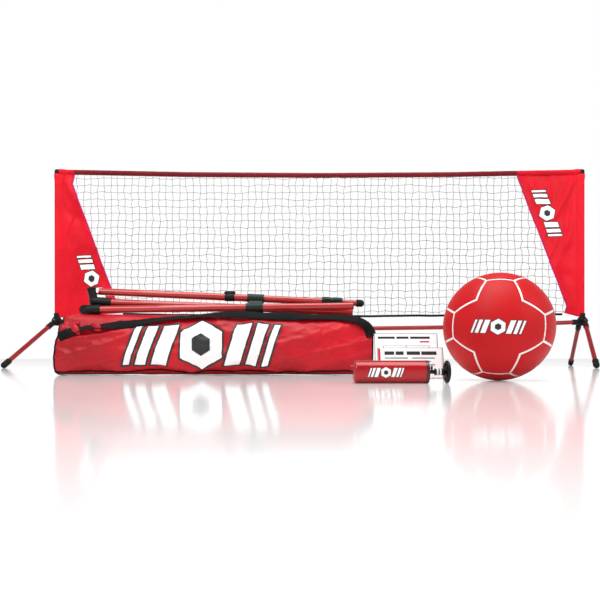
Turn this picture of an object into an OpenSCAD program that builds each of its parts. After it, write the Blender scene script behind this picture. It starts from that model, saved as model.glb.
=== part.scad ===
// Portable football-tennis net set: a standing net on a folding tube frame, its carry bag with a
// second, folded frame lying on it, a ball, a hand pump and two folded leaflets.
// Origin at the middle of the floor area, +X along the net, +Y away from the bag, +Z up.

/* [Net frame] */
// Distance between the two uprights' axes
net_span = 2420; // [2380:5:2460]
// Height of the top corners' axis above the floor
top_z = 900; // [880:5:930]
// Height of the hubs' centre above the floor
hub_z = 207; // [200:1:215]
// Sag of the top bar at its middle joint
top_sag = 16; // [10:1:24]
// Sag of the bottom bar at its middle joint
bar_sag = 33; // [20:1:36]
// Outer diameter of the bottom bar and leg tubes
bar_d = 19; // [19:0.5:19.5]
// Outer diameter of the upright and top tubes
pole_d = 16; // [15.5:0.5:16]
// Wall of every steel tube
tube_wall = 1.2; // [1:0.1:1.4]

/* [Legs] */
// How far each foot stands in front of or behind the net
foot_reach = 314; // [300:1:330]
// How far each foot is skewed along the net
foot_skew = 89; // [80:1:95]
// Radius of the rounded foot caps
foot_r = 12.5; // [12:0.5:13]
// Distance of each leg's pivot from the net's plane
pivot_y = 27; // [27:0.5:28]

/* [Net and banners] */
// Width of each banner at its narrow end
banner_narrow = 95; // [85:1:105]
// Width of each banner at its wide end
banner_wide = 304; // [290:1:320]
// Height of the bottom binding's top edge at the banners
binding_z = 248; // [246:1:252]
// Sag of the bottom binding at the middle of the net
binding_sag = 10; // [6:1:12]

/* [Layout] */
// From the pump's axis back to the ball's centre
ball_gap = 130; // [126:1:140]
// From the pump's axis back to the front leaflet's fold
front_leaflet_gap = 255; // [250:1:260]
// From the pump's axis back to the rear leaflet's fold
rear_leaflet_gap = 310; // [308:1:315]
// From the pump's axis back to the bag's middle
bag_gap = 480; // [475:1:500]
// From the pump's axis back to the net's plane
net_gap = 1665; // [1600:5:1700]

/* [Bag] */
// Length of the bag
bag_l = 824; // [800:1:840]
// Depth of the bag
bag_w = 165; // [160:1:170]
// Height of the bag
bag_h = 153; // [150:1:153]
// Middle of the bag along the net
bag_x = -310; // [-315:1:-305]
// Width of the strap's webbing
strap_w = 25; // [20:1:30]

/* [Ball] */
// Diameter of the ball
ball_d = 220; // [216:1:222]
// Middle of the ball along the net
ball_x = 316; // [310:1:322]

/* [Pump] */
// Diameter of the pump's barrel and of its handle disc
pump_d = 42; // [40:0.5:42]
// Length of the barrel
barrel_l = 131; // [128:1:133]
// Left end of the barrel along the net
barrel_x = 7; // [5:1:10]
// How far the rod stands out of the barrel's cap
rod_out = 12; // [12:0.5:14]

/* [Leaflets] */
// Width of both leaflets
leaflet_w = 148; // [140:1:150]
// Height of the rear leaflet's panels
rear_leaflet_h = 105; // [100:1:108]
// Height of the front leaflet's panels
front_leaflet_h = 70; // [65:1:75]
// Lean of the panels from upright
leaflet_lean = 12; // [10:1:15]
// Thickness of a panel
leaflet_t = 1.2; // [1:0.1:1.5]

/* [Hidden] */
$fn = 48;

half = net_span / 2;
section = net_span / 4;
bar_r = bar_d / 2;
pole_r = pole_d / 2;
fit = 0.05;         // radial gap of a tube in its socket
sleeve_r = pole_r + 1.4;

// Rows of the set from the front to the back, centred on the origin
pump_r = pump_d / 2;
set_depth = pump_r + net_gap + foot_reach + foot_r;
pump_y = pump_r - set_depth / 2;
ball_y = pump_y + ball_gap;
front_leaflet_y = pump_y + front_leaflet_gap;
rear_leaflet_y = pump_y + rear_leaflet_gap;
bag_y = pump_y + bag_gap;
net_y = pump_y + net_gap;

function unit(v) = v / norm(v);
function sideways(z) = abs(z[2]) > 0.9 ? unit(cross([0, 1, 0], z)) : unit(cross([0, 0, 1], z));
// Drop of a bar that sags by s at its middle joint and by three quarters of s at its outer joints
function drop(x, s) = abs(x) > section
    ? 0.75 * s * (half - abs(x)) / section
    : s - 0.25 * s * abs(x) / section;
function top_at(x) = [x, net_y, top_z - drop(x, top_sag)];
function bar_at(x) = [x, net_y, hub_z - drop(x, bar_sag)];
function binding_at(x) = binding_z - binding_sag * max(0, 1 - abs(x) / (half - banner_wide));

// Draws its child with its own X along x, Z along z and origin at p
module place(p, x, z) {
    y = cross(z, x);
    multmatrix([
        [x[0], y[0], z[0], p[0]],
        [x[1], y[1], z[1], p[1]],
        [x[2], y[2], z[2], p[2]],
        [0, 0, 0, 1]
    ]) children();
}

// Draws its child with its own Z pointing from p to q
module toward(p, q) {
    z = unit(q - p);
    place(p, sideways(z), z) children();
}

module rod(p, q, r) {
    toward(p, q) cylinder(h = norm(q - p), r = r);
}

module pipe(p, q, r, wall) {
    toward(p, q) difference() {
        cylinder(h = norm(q - p), r = r);
        translate([0, 0, -1]) cylinder(h = norm(q - p) + 2, r = r - wall);
    }
}

// ---------- legs ----------
knuckle_t = 10;     // thickness of a leg's eye
ear_gap = 0.3;      // clearance between the eye and each ear
ear_t = 4;
ear_r = 12;
pin_r = 3;
pin_half = knuckle_t / 2 + ear_gap + ear_t;
head_r = 4.5;       // head of each pin
socket_start = 20;  // from the pivot to the leg's socket
socket_end = 52;
socket_r = 12;

function pivot(side, end) = [side * half, net_y + end * pivot_y, hub_z];
function foot_at(side, end) = [side * half + end * foot_skew, net_y + end * foot_reach, foot_r];
function leg_len(side, end) = norm(foot_at(side, end) - pivot(side, end));
function leg_dir(side, end) = unit(foot_at(side, end) - pivot(side, end));
// The hinge stands square to the leg and to the bar, so that the leg folds in beside the bar
function leg_axis(side, end) = unit(cross(leg_dir(side, end), [-side, 0, 0]));

module on_leg(side, end) {
    place(pivot(side, end), leg_dir(side, end), leg_axis(side, end)) children();
}

module leg_knuckle(side, end) {
    color("#1d1f1e") on_leg(side, end) difference() {
        union() {
            translate([0, 0, -knuckle_t / 2]) cylinder(h = knuckle_t, r = ear_r - 0.5);
            translate([0, -8, -knuckle_t / 2]) cube([socket_start + 4, 16, knuckle_t]);
            translate([socket_start, 0, 0]) rotate([0, 90, 0]) {
                cylinder(h = socket_end - socket_start, r = socket_r);
            }
        }
        translate([0, 0, -knuckle_t]) cylinder(h = 2 * knuckle_t, r = pin_r + fit);
        translate([socket_start + 6, 0, 0]) rotate([0, 90, 0]) {
            cylinder(h = socket_end, r = bar_r + fit);
        }
    }
}

module leg_tube(side, end) {
    len = leg_len(side, end);
    color("#8e1f2a") on_leg(side, end) {
        pipe([socket_start + 6.2, 0, 0], [len - 6.5, 0, 0], bar_r, tube_wall);
    }
}

module leg_foot(side, end) {
    len = leg_len(side, end);
    color("#1a1a1b") on_leg(side, end) difference() {
        union() {
            translate([len - 32, 0, 0]) rotate([0, 90, 0]) cylinder(h = 32, r = foot_r);
            translate([len, 0, 0]) sphere(r = foot_r);
        }
        translate([len - 33, 0, 0]) rotate([0, 90, 0]) cylinder(h = 27, r = bar_r + fit);
    }
}

// Two ears that hold one leg's eye, reaching back into the hub's core
module fork(side, end) {
    out = unit([0, leg_dir(side, end)[1], leg_dir(side, end)[2]]);
    place([0, end * pivot_y, 0], [1, 0, 0], leg_axis(side, end)) {
        back = leg_axis(side, end)[2] * out[1] > 0 ? -1 : 1;
        for (low = [-knuckle_t / 2 - ear_gap - ear_t, knuckle_t / 2 + ear_gap]) {
            translate([0, 0, low]) cylinder(h = ear_t, r = ear_r);
            translate([-ear_r, back > 0 ? 0 : -26, low]) cube([2 * ear_r, 26, ear_t]);
        }
    }
}

module leg_pin(side, end) {
    color("#b9bcc0") on_leg(side, end) {
        translate([0, 0, -pin_half]) cylinder(h = 2 * pin_half, r = pin_r);
        translate([0, 0, pin_half]) cylinder(h = 1.6, r = head_r);
    }
}

module leg_pins() {
    for (side = [-1, 1], end = [-1, 1]) leg_pin(side, end);
}

// ---------- standing frame ----------
hub_r = 13.5;
hub_low = 17;       // hub's core below its centre
hub_high = 40;      // hub's core above its centre
hub_floor = 8;      // bottom of the upright's bore above the hub's centre
bar_socket = 45;
corner_r = pole_r + 2.5;
corner_reach = 30;

module hub(side) {
    inward = unit(bar_at(side * section) - bar_at(side * half));
    color("#1d1f1e") translate([side * half, net_y, hub_z]) difference() {
        union() {
            translate([0, 0, -hub_low]) cylinder(h = hub_low + hub_high, r = hub_r);
            rod([0, 0, 0], bar_socket * inward, bar_r + 3);
            for (end = [-1, 1]) fork(side, end);
        }
        translate([0, 0, hub_floor]) cylinder(h = hub_high, r = pole_r + fit);
        rod(12 * inward, 2 * bar_socket * inward, bar_r + fit);
        for (end = [-1, 1]) {
            place([0, end * pivot_y, 0], [1, 0, 0], leg_axis(side, end)) {
                translate([0, 0, -15]) cylinder(h = 30, r = pin_r + fit);
                translate([0, 0, pin_half]) cylinder(h = 4, r = head_r + fit);
            }
        }
    }
}

module upright(side) {
    low = [side * half, net_y, hub_z + hub_floor + 0.2];
    color("#8e1f2a") pipe(low, [low[0], low[1], top_z - 2], pole_r, tube_wall);
}

module corner(side) {
    inward = unit(top_at(side * section) - top_at(side * half));
    color("#1a1a1b") translate([side * half, net_y, top_z]) difference() {
        union() {
            sphere(r = corner_r);
            translate([0, 0, -corner_reach]) cylinder(h = corner_reach, r = corner_r);
            rod([0, 0, 0], corner_reach * inward, corner_r);
        }
        translate([0, 0, -2 * corner_reach]) cylinder(h = 2 * corner_reach - 1.8, r = pole_r + fit);
        rod(9 * inward, 2 * corner_reach * inward, pole_r + fit);
    }
}

// One quarter of a bar, cut short where it stands in a socket or meets the next tube
module quarter(p, q, cut_p, cut_q, r) {
    along = unit(q - p);
    pipe(p + cut_p * along, q - cut_q * along, r, tube_wall);
}

module bar_tube(i) {
    x = -half + i * section;
    color("#8e1f2a") {
        quarter(bar_at(x), bar_at(x + section), i == 0 ? 12.2 : 0.4, i == 3 ? 12.2 : 0.4, bar_r);
    }
}

module top_tube(i) {
    x = -half + i * section;
    color("#8e1f2a") {
        quarter(top_at(x), top_at(x + section), i == 0 ? 9.2 : 0.3, i == 3 ? 9.2 : 0.3, pole_r);
    }
}

// Short rods inside the three joints of each bar, in line with the mean slope of the tubes they join
spigot_reach = 30;
spigot_gap = 0.7;
module tube_spigots() {
    color("#9a9da1") for (x = [-section, 0, section]) {
        rod(top_at(x - spigot_reach), top_at(x + spigot_reach), pole_r - tube_wall - spigot_gap);
        rod(bar_at(x - spigot_reach), bar_at(x + spigot_reach), bar_r - tube_wall - spigot_gap);
    }
}

// ---------- net ----------
module top_sleeve() {
    color("#8e1f2a") for (i = [0:3]) {
        p = top_at(-half + i * section);
        q = top_at(-half + (i + 1) * section);
        along = unit(q - p);
        pipe(
            p + (i == 0 ? corner_reach + 1 : 1) * along,
            q - (i == 3 ? corner_reach + 1 : 1) * along,
            sleeve_r, sleeve_r - pole_r - 0.15
        );
    }
}

// Flat sheet in the net's plane from an outline of X and Z
module sheet(points, t) {
    translate([0, net_y + t / 2, 0]) rotate([90, 0, 0]) linear_extrude(t) polygon(points);
}

function under_top(x) = [x, top_at(x)[2] - sleeve_r - 0.2];

module net_mesh() {
    left_top = -half + banner_narrow;
    right_top = half - banner_wide;
    left_low = -half + banner_wide;
    right_low = half - banner_narrow;
    color("#2b2b2d") sheet([
        [left_low, binding_at(left_low)],
        [0, binding_at(0)],
        [right_low, binding_at(right_low)],
        under_top(right_top),
        for (x = [section, 0, -section]) under_top(x),
        under_top(left_top)
    ], 2);
}

module bottom_binding() {
    left_low = -half + banner_wide;
    right_low = half - banner_narrow;
    tape = 10;
    color("#161617") sheet([
        [left_low, binding_at(left_low)],
        [left_low, binding_at(left_low) - tape],
        [0, binding_at(0) - tape],
        [right_low, binding_at(right_low) - tape],
        [right_low, binding_at(right_low)],
        [0, binding_at(0)]
    ], 3);
}

module banner(side, wide_low, wide_top) {
    low = hub_z + hub_high + 1;
    high = top_z - corner_reach - 2;
    t = 3;
    edge = pole_r + 0.8;
    function at(u, z) = [side * (half - u), z];
    function top_edge(u) = top_at(half - u)[2] - sleeve_r - 0.2;
    color("#c81f2e") {
        sheet([
            at(edge, low), at(hub_r + 2, low), at(20, low - 22), at(wide_low, binding_z),
            at(wide_top, top_edge(wide_top)), at(corner_r + 1, top_z - corner_r - 1.5),
            at(corner_r + 1, high), at(edge, high)
        ], t);
        pipe([side * half, net_y, low], [side * half, net_y, high], sleeve_r, 1.25);
    }
}

// ---------- folded frame on the bag ----------
stow_floor = bag_h + 1;
upright_p = [bag_x - 315, bag_y + 22, 222];
upright_q = [bag_x + 306, bag_y + 22, 194];
bar_p = [bag_x - 322, bag_y, 193];
bar_q = [bag_x + 357, bag_y, stow_floor + bar_r + 2];
leg_p = [bag_x - 322, bag_y - 27, stow_floor + bar_r + 6.5];
leg_q = [bag_x + 357, bag_y - 27, 179];
stow_dir = unit(upright_q - upright_p);
bar_way = unit(bar_q - bar_p);
leg_way = unit(leg_q - leg_p);
collar_l = 55;
collar_r = 13;
collar_rings = [4, 32];     // where the two grip rings start
inner_l = 470;
inner_out = 72;     // telescopic tube standing out of the outer tube
arm_dir = unit([-0.22, 0, 0.97]);

// Elbow with an empty socket for an upright and a socket for the bottom bar
module stowed_elbow() {
    color("#1d1f1e") translate(bar_p) difference() {
        union() {
            sphere(r = 13);
            rod([0, 0, 0], 36 * arm_dir, pole_r + 2.6);
            rod(32.5 * arm_dir, 36 * arm_dir, pole_r + 4);
            rod([0, 0, 0], 46 * bar_way, bar_r + 3);
        }
        rod(9 * arm_dir, 60 * arm_dir, pole_r + fit);
        rod(12 * bar_way, 90 * bar_way, bar_r + fit);
    }
}

module stowed_hub() {
    color("#1d1f1e") translate(leg_p) difference() {
        union() {
            rod(-7 * leg_way, 26 * leg_way, bar_r + 3);
            translate([-15, -9, -11.5]) cube([16, 18, 23]);
            translate([-15, 9, 0]) rotate([90, 0, 0]) cylinder(h = 18, r = 11.5);
        }
        rod(12 * leg_way, 90 * leg_way, bar_r + fit);
        translate([-15, 10, 0]) rotate([90, 0, 0]) cylinder(h = 20, r = pin_r + fit);
    }
}

module stowed_upright() {
    color("#a52030") pipe(upright_p, upright_q, bar_r, tube_wall);
}

module stowed_bar() {
    color("#a52030") pipe(bar_p + 12.2 * bar_way, bar_q, bar_r, tube_wall);
}

module stowed_leg() {
    color("#a52030") pipe(leg_p + 12.2 * leg_way, leg_q, bar_r, tube_wall);
}

// Locking sleeve that turns on the outer tube's end, with grip flats
module twist_collar() {
    color("#18201c") toward(upright_q - 28 * stow_dir, upright_q) difference() {
        union() {
            cylinder(h = collar_l, r = collar_r - 1);
            for (z = collar_rings) translate([0, 0, z]) cylinder(h = 18, r = collar_r);
        }
        translate([0, 0, -1]) cylinder(h = 29.2, r = bar_r + fit);
        cylinder(h = 2 * collar_l, r = pole_r + fit);
        for (z = collar_rings, turn = [0:30:330]) rotate(turn) {
            translate([collar_r + 0.4, 0, z - 1]) cylinder(h = 20, r = 1.1);
        }
    }
}

module telescopic_tube() {
    end = upright_q + inner_out * stow_dir;
    color("#a52030") pipe(end - inner_l * stow_dir, end, pole_r, tube_wall);
}

module tube_end_cap() {
    color("#161617") toward(upright_q + inner_out * stow_dir, upright_q + 200 * stow_dir) {
        difference() {
            union() {
                translate([0, 0, -8]) cylinder(h = 12, r = pole_r + 1.6);
                translate([0, 0, 4]) rotate_extrude() intersection() {
                    square(pole_r + 1.6);
                    circle(r = pole_r + 1.6);
                }
            }
            translate([0, 0, -9]) cylinder(h = 9.1, r = pole_r + fit);
        }
    }
}

// Bracket that keeps the three folded tubes together
module tube_clip() {
    x = bag_x + 80;
    clip_l = 44;
    ring_r = bar_r + 2.6;
    a = upright_p + stow_dir * (x - upright_p[0]) / stow_dir[0];
    b = bar_p + bar_way * (x - bar_p[0]) / bar_way[0];
    c = leg_p + leg_way * (x - leg_p[0]) / leg_way[0];
    color("#26302b") difference() {
        union() {
            rod(a, a + clip_l * stow_dir, ring_r);
            rod(b, b + clip_l * bar_way, ring_r);
            rod(c, c + clip_l * leg_way, ring_r - 0.8);
            clip_web(a, b, clip_l);
            clip_web(b, c, clip_l);
        }
        rod(a - 9 * stow_dir, a + 90 * stow_dir, bar_r + fit);
        rod(b - 9 * bar_way, b + 90 * bar_way, bar_r + fit);
        rod(c - 9 * leg_way, c + 90 * leg_way, bar_r + fit);
    }
}

module clip_web(p, q, l) {
    turn = atan2(q[2] - p[2], q[1] - p[1]);
    translate(p) rotate([turn, 0, 0]) translate([4, 0, -4]) cube([l - 8, norm(q - p), 8]);
}

// Black inserts in the open ends of the two long folded tubes
module tube_plugs() {
    color("#111112") {
        pipe(bar_q - 24 * bar_way, bar_q + 1.5 * bar_way, bar_r - tube_wall - fit, 1.6);
        pipe(leg_q - 24 * leg_way, leg_q + 1.5 * leg_way, bar_r - tube_wall - fit, 1.6);
    }
}

// ---------- bag ----------
piping_r = 3;
bag_edge = 28;
shell_l = bag_l - 4 * piping_r;

shell_fn = 32;
pole = bag_edge * cos(180 / shell_fn);   // a faceted ball's flat cap above its centre

module bag_shell() {
    color("#c81f2e") translate([bag_x, bag_y, 0]) hull() {
        for (sx = [-1, 1], sy = [-1, 1], z = [pole, bag_h - pole]) {
            translate([sx * (shell_l / 2 - bag_edge), sy * (bag_w / 2 - bag_edge), z]) {
                sphere(r = bag_edge, $fn = shell_fn);
            }
        }
    }
}

// Corded edge around one end panel
module piping_loop(x) {
    y = bag_w / 2 - bag_edge - 20;
    z_low = bag_edge + 15;
    z_high = bag_h - bag_edge - 13;
    r = bag_edge + 10;
    for (sy = [-1, 1]) {
        rod([x, sy * (y + r), z_low], [x, sy * (y + r), z_high], piping_r);
    }
    rod([x, -y, z_low - r], [x, y, z_low - r], piping_r);
    rod([x, -y, z_high + r], [x, y, z_high + r], piping_r);
    for (sy = [-1, 1], sz = [-1, 1]) {
        turn = sz > 0 ? (sy > 0 ? 0 : 90) : (sy > 0 ? 270 : 180);
        translate([x, sy * y, sz > 0 ? z_high : z_low]) rotate([turn, 0, 0]) rotate([0, 90, 0]) {
            rotate([0, 0, 90]) rotate_extrude(angle = 90) translate([r, 0]) circle(r = piping_r, $fn = 24);
        }
    }
}

module bag_piping() {
    color("#131314") translate([bag_x, bag_y, 0]) {
        piping_loop(-shell_l / 2 - piping_r);
        piping_loop(shell_l / 2 + piping_r);
    }
}

// Webbing that runs up the front of the bag, along its top edge and down again
module bag_strap() {
    x = shell_l / 2;
    w = strap_w;
    middle = [[-x + 30, 88], [-x + 190, 108], [-x + 330, 132], [x - 60, 134], [x - 14, 96]];
    color("#19191a") translate([bag_x, bag_y - bag_w / 2 - 1, 0]) rotate([90, 0, 0]) {
        linear_extrude(2.5) polygon([
            for (p = middle) [p[0], p[1] + w / 2],
            for (i = [len(middle) - 1:-1:0]) [middle[i][0], middle[i][1] - w / 2]
        ]);
    }
}

zip_y = 43;
zip_l = 640;

module zip_tape() {
    color("#101011") translate([bag_x - zip_l / 2, bag_y + zip_y - 10, bag_h + 0.1]) {
        cube([zip_l, 20, 1.4]);
    }
}

module zip_slider() {
    color("#3a3c3e") translate([bag_x - zip_l / 2 + 14, bag_y + zip_y, bag_h + 1.8]) {
        translate([-7, -4.5, 0]) cube([14, 9, 4]);
        difference() {
            translate([5, -3.5, 4]) cube([26, 7, 1.6]);
            translate([25, 0, 3]) cylinder(h = 4, r = 2);
        }
    }
}

// ---------- ball ----------
cover_t = 3;
bladder_t = 1.5;
valve_r = 6;

module valve_hole(r) {
    rotate([-90, 0, 0]) cylinder(h = ball_d, r = r);
}

module ball_cover() {
    color("#d22a22") translate([ball_x, ball_y, ball_d / 2]) difference() {
        sphere(d = ball_d);
        sphere(r = ball_d / 2 - cover_t);
        valve_hole(valve_r + fit);
    }
}

module ball_bladder() {
    r = ball_d / 2 - cover_t - 0.3;
    color("#2b2b2b") translate([ball_x, ball_y, ball_d / 2]) difference() {
        sphere(r = r);
        sphere(r = r - bladder_t);
        valve_hole(valve_r + fit);
    }
}

module ball_valve() {
    color("#141414") translate([ball_x, ball_y + ball_d / 2 - 0.6, ball_d / 2]) {
        rotate([90, 0, 0]) difference() {
            cylinder(h = 12, r = valve_r);
            translate([0, 0, -1]) cylinder(h = 14, r = 1.5);
        }
    }
}

// ---------- pump ----------
barrel_wall = 2.5;
barrel_bore = pump_r - barrel_wall;
cap_t = 6.5;
rod_r = 3.7;
piston_t = 14;
nozzle_up = 8;      // nozzle above the barrel's axis
cap_x = barrel_x + barrel_l;
grip_x = cap_x + cap_t + rod_out;
grip_l = 16.5;
disc_t = 12.5;
end_round = 7;

module along_pump(x) {
    translate([x, pump_y, pump_r]) rotate([0, 90, 0]) children();
}

module pump_barrel() {
    color("#c92530") along_pump(barrel_x) difference() {
        union() {
            translate([0, 0, end_round]) cylinder(h = barrel_l - end_round, r = pump_r);
            rotate_extrude($fn = 64) {
                square([pump_r - end_round, end_round]);
                translate([pump_r - end_round, end_round]) intersection() {
                    circle(r = end_round);
                    translate([0, -end_round]) square(end_round);
                }
            }
            translate([-nozzle_up, 0, -5]) cylinder(h = 6, r = 4);
        }
        translate([0, 0, 7]) cylinder(h = barrel_l, r = barrel_bore);
        translate([-nozzle_up, 0, -6]) cylinder(h = 14, r = 1.5);
    }
}

module pump_cap() {
    color("#2a1214") along_pump(cap_x) difference() {
        union() {
            translate([0, 0, 0.1]) cylinder(h = cap_t - 0.1, r = pump_r);
            translate([0, 0, -6]) cylinder(h = 7, r = barrel_bore - fit);
        }
        translate([0, 0, -7]) cylinder(h = 20, r = rod_r + fit);
        translate([0, 0, -7]) cylinder(h = 6, r = barrel_bore - 3);
    }
}

piston_x = barrel_x + 14;

module pump_piston() {
    color("#2e2e30") along_pump(piston_x) difference() {
        cylinder(h = piston_t, r = barrel_bore - fit);
        translate([0, 0, 5]) cylinder(h = piston_t, r = rod_r);
        translate([0, 0, -1]) cylinder(h = 4, r = barrel_bore - 5);
    }
}

module pump_rod() {
    start = piston_x + 5;
    color("#161617") along_pump(start) {
        cylinder(h = grip_x + 8 - start, r = rod_r);
        translate([-11, -1.5, cap_x + cap_t + 5.5 - start]) cube([11, 3, 3]);
    }
}

// Round handle: a grip with a socket for the rod, and a dished disc with ribs
grip_r = 6.3;
rim_half = 0.8;     // half the thickness of the disc at its rim
// Face of the lens-shaped disc at radius r; side is -1 for the face at the grip
function disc_face(r, side) =
    grip_l + disc_t / 2 + side * (rim_half + (disc_t / 2 - rim_half) * sqrt(max(0, 1 - pow(r / pump_r, 2))));

module pump_handle() {
    rs = [for (i = [0:9]) grip_r + (pump_r - grip_r) * sin(i * 10)];
    color("#161617") along_pump(grip_x) difference() {
        rotate_extrude() polygon(concat(
            [[0, 0], [grip_r, 0]],
            [for (r = rs) [r, disc_face(r, -1)]],
            [for (i = [9:-1:0]) [rs[i], disc_face(rs[i], 1)]],
            [[0, disc_face(0, 1)]]
        ));
        translate([0, 0, -1]) cylinder(h = 9.1, r = rod_r);
        for (turn = [30:60:330]) rotate(turn) {
            translate([9, -3, grip_l - 2]) cube([8, 6, 6.5]);
        }
    }
}

// ---------- leaflets ----------
leaflet_x = 158;

// One panel hanging from the fold; end is -1 for the front panel and 1 for the back one
module panel(y, h, end) {
    fold_z = h * cos(leaflet_lean) + leaflet_t * sin(leaflet_lean);
    translate([leaflet_x, y + end * 0.05, fold_z]) rotate([end * leaflet_lean, 0, 0]) {
        translate([-leaflet_w / 2, end > 0 ? 0 : -leaflet_t, -h]) cube([leaflet_w, leaflet_t, h]);
    }
}

module rear_leaflet_front() {
    color("#f2f0ec") panel(rear_leaflet_y, rear_leaflet_h, -1);
}

module rear_leaflet_back() {
    color("#f2f0ec") panel(rear_leaflet_y, rear_leaflet_h, 1);
}

module front_leaflet_front() {
    color("#f6f5f2") panel(front_leaflet_y, front_leaflet_h, -1);
}

module front_leaflet_back() {
    color("#f6f5f2") panel(front_leaflet_y, front_leaflet_h, 1);
}

hub(-1);  // hub_left
hub(1);  // hub_right
upright(-1);  // upright_left
upright(1);  // upright_right
corner(-1);  // corner_left
corner(1);  // corner_right
bar_tube(0);  // bar_tube_1
bar_tube(1);  // bar_tube_2
bar_tube(2);  // bar_tube_3
bar_tube(3);  // bar_tube_4
top_tube(0);  // top_tube_1
top_tube(1);  // top_tube_2
top_tube(2);  // top_tube_3
top_tube(3);  // top_tube_4
tube_spigots();
top_sleeve();
net_mesh();
bottom_binding();
banner(-1, banner_wide, banner_narrow);  // banner_left
banner(1, banner_narrow, banner_wide);  // banner_right
leg_pins();
leg_knuckle(-1, -1);  // front_left_knuckle
leg_tube(-1, -1);  // front_left_leg
leg_foot(-1, -1);  // front_left_foot
leg_knuckle(-1, 1);  // rear_left_knuckle
leg_tube(-1, 1);  // rear_left_leg
leg_foot(-1, 1);  // rear_left_foot
leg_knuckle(1, -1);  // front_right_knuckle
leg_tube(1, -1);  // front_right_leg
leg_foot(1, -1);  // front_right_foot
leg_knuckle(1, 1);  // rear_right_knuckle
leg_tube(1, 1);  // rear_right_leg
leg_foot(1, 1);  // rear_right_foot
stowed_elbow();
stowed_hub();
stowed_upright();
stowed_bar();
stowed_leg();
twist_collar();
telescopic_tube();
tube_end_cap();
tube_clip();
tube_plugs();
bag_shell();
bag_piping();
bag_strap();
zip_tape();
zip_slider();
ball_cover();
ball_bladder();
ball_valve();
pump_barrel();
pump_cap();
pump_piston();
pump_rod();
pump_handle();
rear_leaflet_front();
rear_leaflet_back();
front_leaflet_front();
front_leaflet_back();
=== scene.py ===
"""Looks of a portable football-tennis net set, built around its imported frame.

The set is a tall net with satin banners on a folding tube frame, a nylon carry bag with a second, folded
frame on it, a ball, a hand pump and two leaflets. Lengths are metres; +X runs along the net, +Y away from
the bag and +Z up.
"""

from __future__ import annotations

import logging
import math
from dataclasses import dataclass, field
from enum import Enum
from typing import Callable, Sequence

import bmesh
import bpy
import numpy as np
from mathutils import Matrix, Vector, noise


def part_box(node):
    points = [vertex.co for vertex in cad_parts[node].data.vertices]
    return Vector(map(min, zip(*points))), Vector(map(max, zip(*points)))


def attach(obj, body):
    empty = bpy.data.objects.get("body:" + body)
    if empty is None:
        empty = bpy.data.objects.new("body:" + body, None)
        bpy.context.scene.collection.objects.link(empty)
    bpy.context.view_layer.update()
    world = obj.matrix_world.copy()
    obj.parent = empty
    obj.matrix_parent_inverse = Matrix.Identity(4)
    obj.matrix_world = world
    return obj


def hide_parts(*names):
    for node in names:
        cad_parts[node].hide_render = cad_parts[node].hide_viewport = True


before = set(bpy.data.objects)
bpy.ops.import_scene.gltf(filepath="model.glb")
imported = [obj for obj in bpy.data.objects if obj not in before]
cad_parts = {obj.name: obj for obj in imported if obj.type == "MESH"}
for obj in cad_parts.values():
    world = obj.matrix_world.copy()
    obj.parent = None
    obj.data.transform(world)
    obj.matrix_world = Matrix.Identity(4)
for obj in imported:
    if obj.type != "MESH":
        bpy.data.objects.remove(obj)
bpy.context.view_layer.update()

LOG = logging.getLogger("net_set")
Point2 = tuple[float, float]
Faces = list[list[int]]
Surface = Callable[[float, float], Vector]
LiftedSurface = Callable[[float, float, float], Vector]

TUBE_NUMBERS = range(1, 5)  # tubes of a bar, from left to right
STEEP = 0.9  # upward share of a path's start past which +Y stands in for +Z
WELD = 1e-6  # distance at which the points of a cut are joined
SHARPEST = 0.35  # keeps the corners of a grown outline from running away
STITCH_STOPS = (0.15, 0.3, 0.55, 0.7)  # places of one thread's points, as shares of the pitch
STITCH_SWELL = (0.35, 1, 1, 0.35)  # radius at those points
WAVE_RATE = 20  # the wave texture's own turns, in radians for each unit


class Side(Enum):
    """End of the net, seen from the bag."""

    LEFT = -1
    RIGHT = 1


# ---------------------------------------------------------------- meshes


def mesh_object(
    name: str,
    verts: np.ndarray,
    faces: Sequence[Sequence[int]],
    material: bpy.types.Material,
    smooth: bool = True,
) -> bpy.types.Object:
    """Makes one mesh object in the scene.

    Args:
        name: Name of the piece.
        verts: Corner points, one row each.
        faces: Corner numbers of each face.
        material: Finish of the whole piece.
        smooth: Whether the faces are shaded smooth.

    Returns:
        The new object.
    """
    mesh = bpy.data.meshes.new(name)
    points = [tuple(v) for v in np.asarray(verts, float)]
    mesh.from_pydata(points, [], [tuple(int(i) for i in f) for f in faces])
    mesh.validate()
    mesh.polygons.foreach_set("use_smooth", [smooth] * len(mesh.polygons))
    mesh.materials.append(material)
    mesh.update()
    obj = bpy.data.objects.new(name, mesh)
    bpy.context.scene.collection.objects.link(obj)
    return obj


def place(obj: bpy.types.Object, body: str, slot: str, *replaced: str) -> bpy.types.Object:
    """Rides a piece on its body and hides the solids that it stands for.

    Args:
        obj: The piece.
        body: Body that it moves with.
        slot: Material slot of the record; not used.
        replaced: Nodes that the piece replaces.

    Returns:
        The same piece.
    """
    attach(obj, body)
    if replaced:
        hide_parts(*replaced)
    LOG.info("%s rides on %s with %d faces", obj.name, body, len(obj.data.polygons))
    return obj


def grid_faces(rows: int, cols: int, close_rows: bool = False, close_cols: bool = False) -> Faces:
    """Lists the quads of a grid of points stored row by row.

    Args:
        rows: Number of rows.
        cols: Points in a row.
        close_rows: Whether the last row joins the first.
        close_cols: Whether each row is a loop.

    Returns:
        Corner numbers of each quad.
    """
    faces = []
    for r in range(rows if close_rows else rows - 1):
        for c in range(cols if close_cols else cols - 1):
            r2, c2 = (r + 1) % rows, (c + 1) % cols
            faces.append([r * cols + c, r * cols + c2, r2 * cols + c2, r2 * cols + c])
    return faces


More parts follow.
